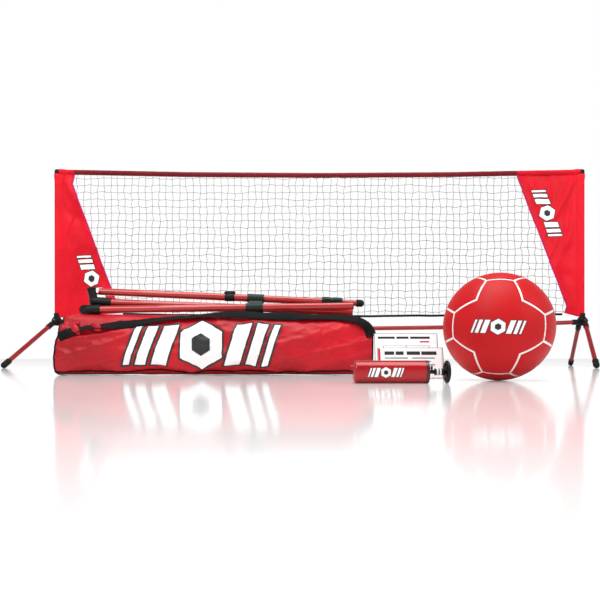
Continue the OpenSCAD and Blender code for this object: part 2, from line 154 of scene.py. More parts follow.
@dataclass
class MeshParts:
    """Collects many small meshes that become one piece."""

    verts: list[np.ndarray] = field(default_factory=list)
    faces: Faces = field(default_factory=list)
    count: int = 0

    def add(self, verts: np.ndarray, faces: Sequence[Sequence[int]]) -> None:
        """Adds one mesh's points and faces."""
        self.verts.append(np.asarray(verts, float))
        self.faces.extend([[i + self.count for i in f] for f in faces])
        self.count += len(verts)

    def make(self, name: str, material: bpy.types.Material, smooth: bool = True) -> bpy.types.Object:
        """Returns the collected meshes as one object."""
        return mesh_object(name, np.vstack(self.verts), self.faces, material, smooth)


def frames_along(path: np.ndarray, closed: bool = False) -> tuple[np.ndarray, np.ndarray]:
    """Finds two directions square to a path at each of its points, without twist.

    Args:
        path: Points of the path.
        closed: Whether its end joins its start.

    Returns:
        The first and the second direction at each point.
    """
    if closed:
        ahead = np.roll(path, -1, 0) - np.roll(path, 1, 0)
    else:
        ahead = np.gradient(path, axis=0)
    ahead /= np.linalg.norm(ahead, axis=1)[:, None]
    start = np.array([0.0, 0.0, 1.0]) if abs(ahead[0][2]) < STEEP else np.array([0.0, 1.0, 0.0])
    side = np.cross(ahead[0], start)
    sides = []
    for a in ahead:
        side = side - a * side.dot(a)
        side /= np.linalg.norm(side)
        sides.append(side.copy())
    sides = np.array(sides)
    return sides, np.cross(ahead, sides)


def tube(
    path: np.ndarray, radius: float | np.ndarray, sides: int = 8, closed: bool = False
) -> tuple[np.ndarray, Faces]:
    """Sweeps a circle along a path.

    Args:
        path: Points of the path.
        radius: Radius, or one radius for each point.
        sides: Sides of the tube.
        closed: Whether the path is a loop.

    Returns:
        Points and faces of the tube, with its open ends capped.
    """
    one, two = frames_along(path, closed)
    turn = np.linspace(0, 2 * math.pi, sides, endpoint=False)
    r = np.broadcast_to(np.asarray(radius, float).reshape(-1, 1, 1), (len(path), 1, 1))
    ring = np.cos(turn)[None, :, None] * one[:, None, :] + np.sin(turn)[None, :, None] * two[:, None, :]
    verts = (path[:, None, :] + r * ring).reshape(-1, 3)
    faces = grid_faces(len(path), sides, closed, True)
    if not closed:
        faces.append(list(range(sides))[::-1])
        faces.append([(len(path) - 1) * sides + i for i in range(sides)])
    return verts, faces


def smooth_path(points: Sequence[Sequence[float]], step: float) -> np.ndarray:
    """Runs a smooth curve through points and samples it evenly.

    Args:
        points: Points that the curve passes.
        step: Distance between samples.

    Returns:
        The samples.
    """
    p = np.asarray(points, float)
    p = np.vstack([2 * p[0] - p[1], p, 2 * p[-1] - p[-2]])
    out = []
    for i in range(1, len(p) - 2):
        n = max(2, int(np.linalg.norm(p[i + 1] - p[i]) / step))
        t = np.linspace(0, 1, n, endpoint=False)[:, None]
        out.append(
            0.5
            * (
                2 * p[i]
                + (p[i + 1] - p[i - 1]) * t
                + (2 * p[i - 1] - 5 * p[i] + 4 * p[i + 1] - p[i + 2]) * t**2
                + (3 * p[i] - p[i - 1] - 3 * p[i + 1] + p[i + 2]) * t**3
            )
        )
    return np.vstack([*out, p[-2]])


def draped_patch(outline: Sequence[Point2], surface: Surface, step: float) -> tuple[list[Vector], Faces]:
    """Cuts a flat outline into small faces and lays it on a surface.

    Args:
        outline: Corners of the outline in the surface's own two coordinates.
        surface: Gives the point in space of two coordinates.
        step: Size of the small faces.

    Returns:
        Points and faces on the surface.
    """
    bm = bmesh.new()
    bm.faces.new([bm.verts.new((x, y, 0)) for x, y in outline])
    lo = [min(p[k] for p in outline) for k in (0, 1)]
    hi = [max(p[k] for p in outline) for k in (0, 1)]
    for k in (0, 1):
        normal = (1, 0, 0) if k == 0 else (0, 1, 0)
        for i in range(1, int((hi[k] - lo[k]) / step) + 1):
            at = (lo[k] + i * step, 0, 0) if k == 0 else (0, lo[k] + i * step, 0)
            geom = bm.verts[:] + bm.edges[:] + bm.faces[:]
            bmesh.ops.bisect_plane(bm, geom=geom, plane_co=at, plane_no=normal, dist=WELD)
    bmesh.ops.triangulate(bm, faces=[f for f in bm.faces if len(f.verts) > 4])
    bm.verts.index_update()
    verts = [surface(v.co.x, v.co.y) for v in bm.verts]
    faces = [[v.index for v in f.verts] for f in bm.faces]
    bm.free()
    return verts, faces


def grown(outline: Sequence[Point2], by: float) -> list[Point2]:
    """Moves every side of a convex outline outward.

    Args:
        outline: Corners, counter-clockwise.
        by: Distance of the move.

    Returns:
        Corners of the larger outline.
    """
    out = []
    n = len(outline)
    for i in range(n):
        a, b, c = (Vector(outline[(i + k) % n]) for k in (-1, 0, 1))
        one, two = (b - a).normalized(), (c - b).normalized()
        na, nb = Vector((one.y, -one.x)), Vector((two.y, -two.x))
        m = (na + nb).normalized()
        p = b + m * (by / max(SHARPEST, m.dot(na)))
        out.append((p.x, p.y))
    return out


def outline_strip(
    outline: Sequence[Point2], by: float, surface: Surface, step: float
) -> tuple[list[Vector], Faces]:
    """Lays a narrow border round a convex outline on a surface.

    Args:
        outline: Corners of the outline, counter-clockwise.
        by: Width of the border.
        surface: Gives the point in space of two coordinates.
        step: Size of the small faces.

    Returns:
        Points and faces on the surface.
    """
    outer = grown(outline, by)
    verts: list[Vector] = []
    for i, (a, b) in enumerate(zip(outline, [*outline[1:], outline[0]])):
        c, d = outer[i], outer[(i + 1) % len(outer)]
        n = max(1, int(math.dist(a, b) / step))
        for k in range(n):
            t = k / n
            verts.append(surface(a[0] + (b[0] - a[0]) * t, a[1] + (b[1] - a[1]) * t))
            verts.append(surface(c[0] + (d[0] - c[0]) * t, c[1] + (d[1] - c[1]) * t))
    return verts, grid_faces(len(verts) // 2, 2, True)


@dataclass(frozen=True)
class Mark:
    """Plain sports motif: slanted bars on both sides of a six-sided ring, white with a black border.

    Apart from height, step and lift, which are metres, its sizes are shares of its height.
    """

    height: float
    step: float = 0.0045
    lift: float = 0.0018
    core_lift: float = 2.0
    border: float = 0.048
    slant: float = 0.33
    slant_before_ring: float = 0.8
    slant_after_ring: float = 0.2
    bars: tuple[float, ...] = (0.15, 0.26, 0.38)
    gap: float = 0.15
    ring: float = 0.60
    ring_flat: float = 0.87
    ring_gap: float = 0.11
    core: float = 0.26

    def width(self) -> float:
        """Length of the motif."""
        return max(x for shape in self.shapes() for x, _ in shape)

    def polygon(self, x: float, radius: float) -> list[Point2]:
        """Six-sided outline about a point half-way up."""
        h = self.height
        turns = [math.pi / 3 * k + math.pi / 6 for k in range(6)]
        return [(x + radius * math.cos(t) * h, (0.5 + radius * math.sin(t)) * h) for t in turns]

    def shapes(self) -> list[list[Point2]]:
        """Outlines of the white parts, the ring's first."""
        h = self.height
        out = []
        at = 0.0
        for group in (self.bars, self.bars[::-1]):
            for wide in group:
                foot = [(at * h, 0.0), ((at + wide) * h, 0.0)]
                head = [((at + wide + self.slant) * h, h), ((at + self.slant) * h, h)]
                out.append(foot + head)
                at += wide + self.gap
            if group is self.bars:
                before, after = self.slant_before_ring * self.slant, self.slant_after_ring * self.slant
                middle = at - self.gap + before + self.ring_flat * self.ring + self.ring_gap
                at = middle + self.ring_flat * self.ring - after + self.ring_gap
        return [self.polygon(middle * h, self.ring), *out]

    def lay(
        self, name: str, surface: LiftedSurface, finishes: Finishes, body: str, slot: str
    ) -> list[bpy.types.Object]:
        """Prints the motif on a surface.

        Args:
            name: First part of the pieces' names.
            surface: Gives the point of two coordinates and a lift.
            finishes: The finishes.
            body: Body that the print moves with.
            slot: Material slot of the surface.

        Returns:
            The white and the black print.
        """
        white, black = MeshParts(), MeshParts()
        shapes = self.shapes()
        middle = sum(p[0] for p in shapes[0]) / 6

        def printed(a: float, b: float) -> Vector:
            """Point on the print."""
            return surface(a, b, self.lift)

        def above_print(a: float, b: float) -> Vector:
            """Point on the black core, above the white."""
            return surface(a, b, self.lift * self.core_lift)

        for shape in shapes:
            white.add(*draped_patch(shape, printed, self.step))
            black.add(*outline_strip(shape, self.border * self.height, printed, self.step))
        black.add(*draped_patch(self.polygon(middle, self.core), above_print, self.step))
        return [
            place(white.make(f"{name}_white", finishes.white_print), body, slot),
            place(black.make(f"{name}_black", finishes.black_print), body, slot),
        ]


def stitches(path: np.ndarray, pitch: float, radius: float) -> tuple[np.ndarray, Faces]:
    """Sews a line of short raised threads along a path.

    Args:
        path: Points of the seam.
        pitch: Distance from one stitch to the next.
        radius: Radius of the thread.

    Returns:
        Points and faces of all the threads.
    """
    step = np.linalg.norm(np.diff(path, axis=0), axis=1)
    along = np.concatenate([[0], np.cumsum(step)])
    count = int(along[-1] / pitch)
    parts = MeshParts()
    for i in range(count):
        at = [(i + k) * pitch for k in STITCH_STOPS]
        pts = np.array([[np.interp(s, along, path[:, k]) for k in range(3)] for s in at])
        parts.add(*tube(pts, np.array(STITCH_SWELL) * radius, 5))
    return np.vstack(parts.verts), parts.faces


def clamp(value: float) -> float:
    """The value, kept from 0 to 1."""
    return min(1.0, max(0.0, value))


def swell(p: Sequence[float], scale: float) -> float:
    """Smooth noise from -1 to 1 at a point."""
    return noise.noise(Vector(p) * scale)


def ridge(p: Sequence[float], power: float = 3.0, narrow: float = 2.2) -> float:
    """Sharp-crested noise from 0 to 1 at a point, for creases in cloth."""
    return max(0.0, 1.0 - narrow * abs(noise.noise(Vector(p)))) ** power


# ---------------------------------------------------------------- finishes


class Paint:
    """Node tree of one finish, with short calls for the nodes that the finishes share."""

    def __init__(self, name: str) -> None:
        """Starts an empty tree with a shader and an output."""
        self.material = bpy.data.materials.new(name)
        self.material.use_nodes = True
        self.tree = self.material.node_tree
        self.tree.nodes.clear()
        self.shader = self.tree.nodes.new("ShaderNodeBsdfPrincipled")
        output = self.tree.nodes.new("ShaderNodeOutputMaterial")
        self.tree.links.new(self.shader.outputs["BSDF"], output.inputs["Surface"])
        self.where = self.tree.nodes.new("ShaderNodeTexCoord").outputs["Object"]

    def put(self, socket: bpy.types.NodeSocket, value: object) -> None:
        """Links a socket to another node's output, or sets its value."""
        if isinstance(value, bpy.types.NodeSocket):
            self.tree.links.new(value, socket)
        elif value is not None:
            socket.default_value = value

    def node(self, kind: str, inputs: dict[str, object], **settings: object) -> bpy.types.Node:
        """Adds a node, with its settings and its inputs."""
        made = self.tree.nodes.new(kind)
        for key, value in settings.items():
            setattr(made, key, value)
        for key, value in inputs.items():
            self.put(made.inputs[key], value)
        return made

    def stretched(self, scale: Sequence[float], turn: Sequence[float] = (0, 0, 0)) -> bpy.types.NodeSocket:
        """Object coordinates, stretched along each axis and then turned."""
        inputs = {"Vector": self.where, "Scale": scale, "Rotation": turn}
        return self.node("ShaderNodeMapping", inputs).outputs[0]

    def noise(
        self, scale: float, detail: float = 3.0, rough: float = 0.5, where: bpy.types.NodeSocket | None = None
    ) -> bpy.types.NodeSocket:
        """Cloudy noise from 0 to 1."""
        inputs = {"Vector": where or self.where, "Scale": scale, "Detail": detail, "Roughness": rough}
        return self.node("ShaderNodeTexNoise", inputs).outputs[0]

    def cells(self, scale: float, where: bpy.types.NodeSocket | None = None) -> bpy.types.NodeSocket:
        """Distance to the nearest of many scattered points."""
        inputs = {"Vector": where or self.where, "Scale": scale}
        return self.node("ShaderNodeTexVoronoi", inputs).outputs["Distance"]

    def bands(self, period: float, axis: str, bend: float = 0.0) -> bpy.types.NodeSocket:
        """Even bands across one axis, from 0 to 1."""
        rate = 2 * math.pi / (WAVE_RATE * period)
        inputs = {"Vector": self.where, "Scale": rate, "Distortion": bend, "Detail": 1.0}
        return self.node("ShaderNodeTexWave", inputs, bands_direction=axis).outputs[1]

    def range(
        self, fac: object, low: float, high: float, start: float = 0.0, end: float = 1.0
    ) -> bpy.types.NodeSocket:
        """Maps a value from one range to another."""
        inputs = {"Value": fac, "From Min": start, "From Max": end, "To Min": low, "To Max": high}
        return self.node("ShaderNodeMapRange", inputs).outputs[0]

    def math(self, operation: str, a: object, b: object = 0.0) -> bpy.types.NodeSocket:
        """One sum on two values."""
        made = self.node("ShaderNodeMath", {}, operation=operation)
        self.put(made.inputs[0], a)
        self.put(made.inputs[1], b)
        return made.outputs[0]

    def blend(self, fac: object, a: object, b: object) -> bpy.types.NodeSocket:
        """Mixes two colours."""
        made = self.node("ShaderNodeMix", {}, data_type="RGBA")
        self.put(made.inputs[0], fac)
        self.put(made.inputs[6], a)
        self.put(made.inputs[7], b)
        return made.outputs[2]

    def bump(
        self, height: object, strength: float, distance: float, under: object = None
    ) -> bpy.types.NodeSocket:
        """Raises the surface by a height in metres."""
        inputs = {"Height": height, "Strength": strength, "Distance": distance, "Normal": under}
        return self.node("ShaderNodeBump", inputs).outputs[0]

    def finish(self, **values: object) -> bpy.types.Material:
        """Sets the shader's sockets and returns the material."""
        for key, value in values.items():
            self.put(self.shader.inputs[key.replace("_", " ")], value)
        return self.material


def rgb(r: float, g: float, b: float) -> tuple[float, float, float, float]:
    """An opaque colour."""
    return (r, g, b, 1.0)


@dataclass(frozen=True)
class MouldedPlastic:
    """Injection-moulded plastic with a fine spark texture and slightly uneven gloss."""

    name: str
    dark: tuple = rgb(0.002, 0.0025, 0.0022)
    light: tuple = rgb(0.009, 0.011, 0.010)
    gloss: float = 0.42
    grain: float = 1400.0
    clouds: float = 38
    scuffs: float = 9
    grain_depth: float = 0.00012
    shine: float = 0.2

    def build(self) -> bpy.types.Material:
        """Returns the material."""
        p = Paint(self.name)
        cloud = p.noise(self.clouds, 4, 0.6)
        grain = p.noise(self.grain, 2, 0.6)
        scuff = p.noise(self.scuffs, 6, 0.7, p.stretched((1, 6, 1.5)))
        colour = p.blend(cloud, self.dark, self.light)
        uneven = p.range(cloud, self.gloss - 0.05, self.gloss + 0.07)
        rough = p.math("ADD", p.range(scuff, -0.08, 0.12), uneven)
        p.finish(Base_Color=colour, Roughness=rough, Normal=p.bump(grain, 0.35, self.grain_depth))
        return p.finish(Specular_IOR_Level=self.shine)


@dataclass(frozen=True)
class CandyPaint:
    """Deep red metallic powder coat under a clear layer, with flakes and faint draw marks."""

    name: str
    deep: tuple = rgb(0.20, 0.005, 0.009)
    bright: tuple = rgb(0.38, 0.012, 0.016)
    metal: float = 0.15
    coat: float = 0.4
    flakes: float = 2600
    clouds: float = 14
    draw_marks: float = 60
    orange_peel: float = 420
    shine: float = 0.25

    def build(self) -> bpy.types.Material:
        """Returns the material."""
        p = Paint(self.name)
        flake = p.cells(self.flakes)
        cloud = p.noise(self.clouds, 4, 0.6)
        mark = p.noise(self.draw_marks, 3, 0.7, p.stretched((0.3, 3, 3)))
        glitter = p.math("MULTIPLY", p.range(flake, 0.2, 1.0), p.range(cloud, 0.5, 1.2))
        colour = p.blend(glitter, self.deep, self.bright)
        rough = p.math("ADD", p.range(mark, 0.22, 0.36), p.range(flake, 0.0, 0.06))
        peel = p.bump(p.noise(self.orange_peel, 2), 0.12, 0.0002)
        p.finish(Base_Color=colour, Roughness=rough, Metallic=self.metal, Normal=peel)
        return p.finish(Coat_Weight=self.coat, Coat_Roughness=0.06, Specular_IOR_Level=self.shine)


@dataclass(frozen=True)
class Steel:
    """Zinc-plated steel with fine brush marks."""

    name: str
    tint: tuple = rgb(0.58, 0.59, 0.6)
    dull: tuple = rgb(0.42, 0.42, 0.44)
    brush_marks: float = 300
    spangle: float = 60
    metal: float = 0.95

    def build(self) -> bpy.types.Material:
        """Returns the material."""
        p = Paint(self.name)
        brush = p.noise(self.brush_marks, 4, 0.7, p.stretched((0.2, 4, 4)))
        colour = p.blend(p.noise(self.spangle, 3), self.dull, self.tint)
        rough = p.range(brush, 0.2, 0.42)
        return p.finish(
            Base_Color=colour, Roughness=rough, Metallic=self.metal, Normal=p.bump(brush, 0.2, 0.0001)
        )


@dataclass(frozen=True)
class Satin:
    """Woven satin or nylon: a fine crossed weave, a soft sheen and clouds of two reds."""

    name: str
    deep: tuple
    bright: tuple
    sheen: tuple
    weave: float = 0.0009
    gloss: float = 0.36
    sheen_weight: float = 0.1
    shine: float = 0.16
    axes: tuple[str, str] = ("X", "Z")
    bend: float = 0.15
    clouds: float = 5.5
    streaks: float = 90
    puckers: float = 26
    between_threads: tuple = rgb(0.02, 0.0, 0.003)

    def build(self) -> bpy.types.Material:
        """Returns the material."""
        p = Paint(self.name)
        warp = p.bands(self.weave, self.axes[0], self.bend)
        weft = p.bands(self.weave, self.axes[1], self.bend)
        thread = p.math("MULTIPLY", warp, weft)
        cloud = p.noise(self.clouds, 5, 0.55)
        fine = p.noise(self.streaks, 3, 0.6, p.stretched((1, 1, 4)))
        fac = p.math("ADD", p.range(cloud, 0.1, 0.95, 0.25, 0.75), p.range(fine, -0.12, 0.12))
        colour = p.blend(fac, self.deep, self.bright)
        colour = p.blend(p.range(thread, 0.0, 0.10), colour, self.between_threads)
        uneven = p.range(cloud, self.gloss - 0.05, self.gloss + 0.07)
        rough = p.math("ADD", uneven, p.range(thread, -0.03, 0.05))
        soft = p.bump(p.noise(self.puckers, 4, 0.55), 0.35, 0.0016)
        p.finish(Base_Color=colour, Roughness=rough, Normal=p.bump(thread, 0.4, 0.00012, soft))
        p.finish(Sheen_Weight=self.sheen_weight, Sheen_Roughness=0.35, Sheen_Tint=self.sheen)
        return p.finish(Specular_IOR_Level=self.shine)


@dataclass(frozen=True)
class Webbing:
    """Ribbed polyester tape: raised ribs across it, fuzzy threads and a dull shine."""

    name: str
    dark: tuple = rgb(0.0025, 0.0025, 0.003)
    light: tuple = rgb(0.013, 0.013, 0.014)
    rib: float = 0.0016
    axis: str = "X"
    rib_bend: float = 0.6
    fuzz: float = 900
    sheen: float = 0.02
    shine: float = 0.1

    def build(self) -> bpy.types.Material:
        """Returns the material."""
        p = Paint(self.name)
        rib = p.bands(self.rib, self.axis, self.rib_bend)
        fuzz = p.noise(self.fuzz, 3, 0.7)
        colour = p.blend(p.math("MULTIPLY", rib, p.range(fuzz, 0.5, 1.3)), self.dark, self.light)
        height = p.math("ADD", rib, p.range(fuzz, 0.0, 0.5))
        p.finish(Base_Color=colour, Roughness=p.range(fuzz, 0.6, 0.85), Normal=p.bump(height, 0.6, 0.0003))
        return p.finish(Sheen_Weight=self.sheen, Sheen_Roughness=0.5, Specular_IOR_Level=self.shine)


@dataclass(frozen=True)
class Twine:
    """Twisted net twine: slanted strands, with painted light that makes them greyer towards the net's upper
    left, where they catch the light.
    """

    name: str
    strands: float = 210.0
    strand_turn: tuple[float, float, float] = (0.6, 0.5, 0.7)
    light_slant: float = 0.18
    patches: float = 3.2
    dark: tuple = rgb(0.02, 0.02, 0.022)
    worn: tuple = rgb(0.07, 0.07, 0.075)
    # Painted light: the grey that the twine is given where it catches the light.
    lit_grey: tuple = rgb(0.36, 0.36, 0.37)

    def build(self) -> bpy.types.Material:
        """Returns the material."""
        p = Paint(self.name)
        twist = {"Vector": p.stretched((1, 1, 1), self.strand_turn), "Scale": self.strands, "Distortion": 1.0}
        strand = p.node("ShaderNodeTexWave", twist).outputs[1]
        axis = p.node("ShaderNodeSeparateXYZ", {"Vector": p.where})
        # Painted light: the twine turns greyer higher up and further left, where it catches the light, with
        # noise patches mixed in.
        slanted = p.math("SUBTRACT", axis.outputs[2], p.math("MULTIPLY", axis.outputs[0], self.light_slant))
        high = p.range(slanted, 0.0, 0.75, 0.45, 1.1)
        amount = p.math("ADD", high, p.range(p.noise(self.patches, 3, 0.5), -0.25, 0.25))
        colour = p.blend(strand, self.dark, self.worn)
        colour = p.blend(p.range(amount, 0.0, 0.8), colour, self.lit_grey)
        rough = p.range(strand, 0.9, 0.7)
        return p.finish(Base_Color=colour, Roughness=rough, Normal=p.bump(strand, 0.7, 0.0003))


@dataclass(frozen=True)
class BallSkin:
    """Glossy synthetic leather with a fine pebble grain."""

    name: str
    deep: tuple
    bright: tuple
    gloss: float = 0.40
    pebbles: float = 520
    clouds: float = 16
    scuffs: float = 70
    dents: float = 45
    shine: float = 0.2

    def build(self) -> bpy.types.Material:
        """Returns the material."""
        p = Paint(self.name)
        pebble = p.cells(self.pebbles)
        cloud = p.noise(self.clouds, 4, 0.55)
        scuff = p.noise(self.scuffs, 5, 0.75)
        tone = p.math("ADD", p.range(cloud, 0.0, 0.9), p.range(pebble, 0.0, 0.12))
        colour = p.blend(tone, self.deep, self.bright)
        rough = p.math("ADD", p.range(scuff, -0.02, 0.10), p.range(pebble, self.gloss, self.gloss + 0.08))
        dimple = p.bump(p.range(pebble, 0.0, 1.0, 0.05, 0.6), 0.25, 0.00018)
        dent = p.bump(p.noise(self.dents, 3), 0.15, 0.0006, dimple)
        p.finish(Base_Color=colour, Roughness=rough, Normal=dent)
        return p.finish(Specular_IOR_Level=self.shine)


@dataclass(frozen=True)
class GlossShell:
    """Polished shell plastic with faint flow marks and a clear shine."""

    name: str
    deep: tuple
    bright: tuple
    gloss: float = 0.16
    flow_marks: float = 22
    hairlines: float = 500
    coat: float = 0.5
    shine: float = 0.2

    def build(self) -> bpy.types.Material:
        """Returns the material."""
        p = Paint(self.name)
        flow = p.noise(self.flow_marks, 4, 0.6, p.stretched((0.5, 2, 2)))
        hair = p.noise(self.hairlines, 3, 0.7, p.stretched((0.15, 3, 3)))
        colour = p.blend(flow, self.deep, self.bright)
        rough = p.math("ADD", p.range(flow, self.gloss - 0.03, self.gloss + 0.04), p.range(hair, 0.0, 0.07))
        p.finish(Base_Color=colour, Roughness=rough, Normal=p.bump(hair, 0.05, 0.0001))
        return p.finish(Coat_Weight=self.coat, Coat_Roughness=0.06, Specular_IOR_Level=self.shine)


@dataclass(frozen=True)
class Paper:
    """Coated paper with a faint fibre mottle."""

    name: str
    shade: tuple = rgb(0.955, 0.965, 0.965)
    light: tuple = rgb(0.99, 0.99, 0.99)
    fibres: float = 700
    clouds: float = 20
    shine: float = 0.15

    def build(self) -> bpy.types.Material:
        """Returns the material."""
        p = Paint(self.name)
        fibre = p.noise(self.fibres, 4, 0.7)
        cloud = p.noise(self.clouds, 3)
        colour = p.blend(p.math("MULTIPLY", fibre, p.range(cloud, 0.7, 1.3)), self.shade, self.light)
        p.finish(Base_Color=colour, Roughness=p.range(cloud, 0.5, 0.65), Normal=p.bump(fibre, 0.15, 0.00008))
        return p.finish(Specular_IOR_Level=self.shine)


@dataclass(frozen=True)
class Ink:
    """Printed or transferred colour, slightly uneven and worn at a fine scale."""

    name: str
    colour: tuple
    worn: tuple
    gloss: float = 0.45
    wear_marks: float = 160
    grain: float = 1300

    def build(self) -> bpy.types.Material:
        """Returns the material."""
        p = Paint(self.name)
        wear = p.noise(self.wear_marks, 5, 0.7)
        colour = p.blend(p.range(wear, 0.0, 0.3, 0.5, 0.9), self.colour, self.worn)
        weave = p.noise(self.grain, 2, 0.6)
        rough = p.range(wear, self.gloss, self.gloss + 0.15)
        return p.finish(Base_Color=colour, Roughness=rough, Normal=p.bump(weave, 0.2, 0.0001))


@dataclass(frozen=True)
class StudioFloor:
    """Pale gloss sheet of a studio table, with a soft reflection."""

    name: str
    shade: tuple = rgb(0.86, 0.86, 0.86)
    light: tuple = rgb(0.88, 0.88, 0.88)
    clouds: float = 1.4
    glow: float = 0.05

    def build(self) -> bpy.types.Material:
        """Returns the material."""
        p = Paint(self.name)
        cloud = p.noise(self.clouds, 3, 0.5)
        colour = p.blend(cloud, self.shade, self.light)
        p.finish(Base_Color=colour, Roughness=p.range(cloud, 0.09, 0.13))
        return p.finish(Emission_Color=rgb(1, 1, 1), Emission_Strength=self.glow)


class Finishes:
    """Every finish of the set, each built once."""

    def __init__(self) -> None:
        """Builds the materials."""
        satin_sheen = rgb(1.0, 0.22, 0.36)
        self.nylon = MouldedPlastic("black_nylon").build()
        self.rubber = MouldedPlastic("foot_rubber", gloss=0.58, grain=900).build()
        self.collar = MouldedPlastic(
            "collar_plastic", rgb(0.002, 0.009, 0.008), rgb(0.006, 0.022, 0.019), gloss=0.3
        ).build()
        self.clip = MouldedPlastic(
            "clip_plastic", rgb(0.007, 0.014, 0.011), rgb(0.020, 0.034, 0.028), gloss=0.36
        ).build()
        self.pump_black = MouldedPlastic("pump_black", gloss=0.28, grain=1800).build()
        self.tube = CandyPaint("red_tube").build()
        # Painted light: the folded frame's tubes have the same paint as red_tube, given a lighter base red
        # for the fuller light on the bag.
        self.lit_folded_tube = CandyPaint(
            "red_tube_folded_lit", rgb(0.30, 0.009, 0.011), rgb(0.50, 0.022, 0.020), metal=0.1, coat=0.9
        ).build()
        self.steel = Steel("bare_steel").build()
        self.zip_metal = Steel("zip_metal", rgb(0.16, 0.16, 0.17)).build()
        self.banner = Satin(
            "banner_satin", rgb(0.48, 0.002, 0.010), rgb(0.82, 0.005, 0.020), satin_sheen
        ).build()
        self.banner_edge = Satin(
            "banner_edge", rgb(0.46, 0.005, 0.06), rgb(0.66, 0.010, 0.12), rgb(1.0, 0.3, 0.6)
        ).build()
        self.sleeve = Satin(
            "sleeve_fabric", rgb(0.13, 0.004, 0.008), rgb(0.22, 0.008, 0.014), rgb(0.6, 0.2, 0.25)
        ).build()
        self.bag = Satin(
            "bag_nylon",
            rgb(0.31, 0.002, 0.006),
            rgb(0.64, 0.004, 0.016),
            satin_sheen,
            weave=0.0011,
            gloss=0.40,
            sheen_weight=0.24,
            shine=0.30,
        ).build()
        self.webbing = Webbing("black_webbing").build()
        self.binding = Webbing("binding_tape", rib=0.0012).build()
        self.twine = Twine("net_twine").build()
        self.ball = BallSkin("ball_leather", rgb(0.40, 0.003, 0.005), rgb(0.60, 0.007, 0.010)).build()
        self.seam = BallSkin("ball_seam", rgb(0.80, 0.78, 0.77), rgb(0.90, 0.89, 0.88), gloss=0.35).build()
        self.bladder = MouldedPlastic("bladder_rubber", gloss=0.5).build()
        self.pump_red = GlossShell("pump_gloss", rgb(0.30, 0.002, 0.005), rgb(0.46, 0.004, 0.010)).build()
        self.pump_trim = GlossShell(
            "pump_trim", rgb(0.03, 0.004, 0.006), rgb(0.09, 0.012, 0.016), gloss=0.25
        ).build()
        self.inlay = GlossShell(
            "pump_inlay", rgb(0.62, 0.63, 0.65), rgb(0.80, 0.80, 0.82), gloss=0.22
        ).build()
        self.paper = Paper("leaflet_paper").build()
        self.white_print = Ink("white_print", rgb(0.90, 0.88, 0.88), rgb(0.80, 0.55, 0.58)).build()
        self.black_print = Ink("black_print", rgb(0.012, 0.012, 0.013), rgb(0.05, 0.03, 0.03)).build()
        self.grey_ink = Ink("grey_ink", rgb(0.13, 0.13, 0.15), rgb(0.26, 0.26, 0.28)).build()
        self.red_ink = Ink("red_ink", rgb(0.52, 0.01, 0.025), rgb(0.62, 0.04, 0.06)).build()
        self.thread = Webbing(
            "sewing_thread", rgb(0.26, 0.006, 0.02), rgb(0.5, 0.03, 0.07), rib=0.0006
        ).build()
        self.black_thread = Webbing("black_thread", rib=0.0006).build()

    def dress(self, material: bpy.types.Material, *nodes: str) -> None:
        """Gives carried-over nodes one finish."""
        for node in nodes:
            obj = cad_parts[node]
            obj.data.materials.clear()
            obj.data.materials.append(material)
            LOG.info("%s keeps its CAD mesh and takes %s", node, material.name)


# ---------------------------------------------------------------- standing net


@dataclass
class BarLine:
    """Centre line of a bar of four tubes that sags at its joints."""

    prefix: str
    radius: float

    def __post_init__(self) -> None:
        """Reads the joints' places from the tubes' boxes."""
        boxes = [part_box(f"{self.prefix}_{i}") for i in TUBE_NUMBERS]
        self.y = sum(b[0].y + b[1].y for b in boxes) / (2 * len(boxes))
        first, second, third, last = boxes
        xs = [first[0].x, first[1].x, second[1].x, third[1].x, last[1].x]
        zs = [
            first[1].z - self.radius,
            first[0].z + self.radius,
            second[0].z + self.radius,
            third[1].z - self.radius,
            last[1].z - self.radius,
        ]
        self.xs, self.zs = np.array(xs), np.array(zs)

    def z(self, x: float | np.ndarray) -> float | np.ndarray:
        """Height of the line at x."""
        return np.interp(x, self.xs, self.zs)


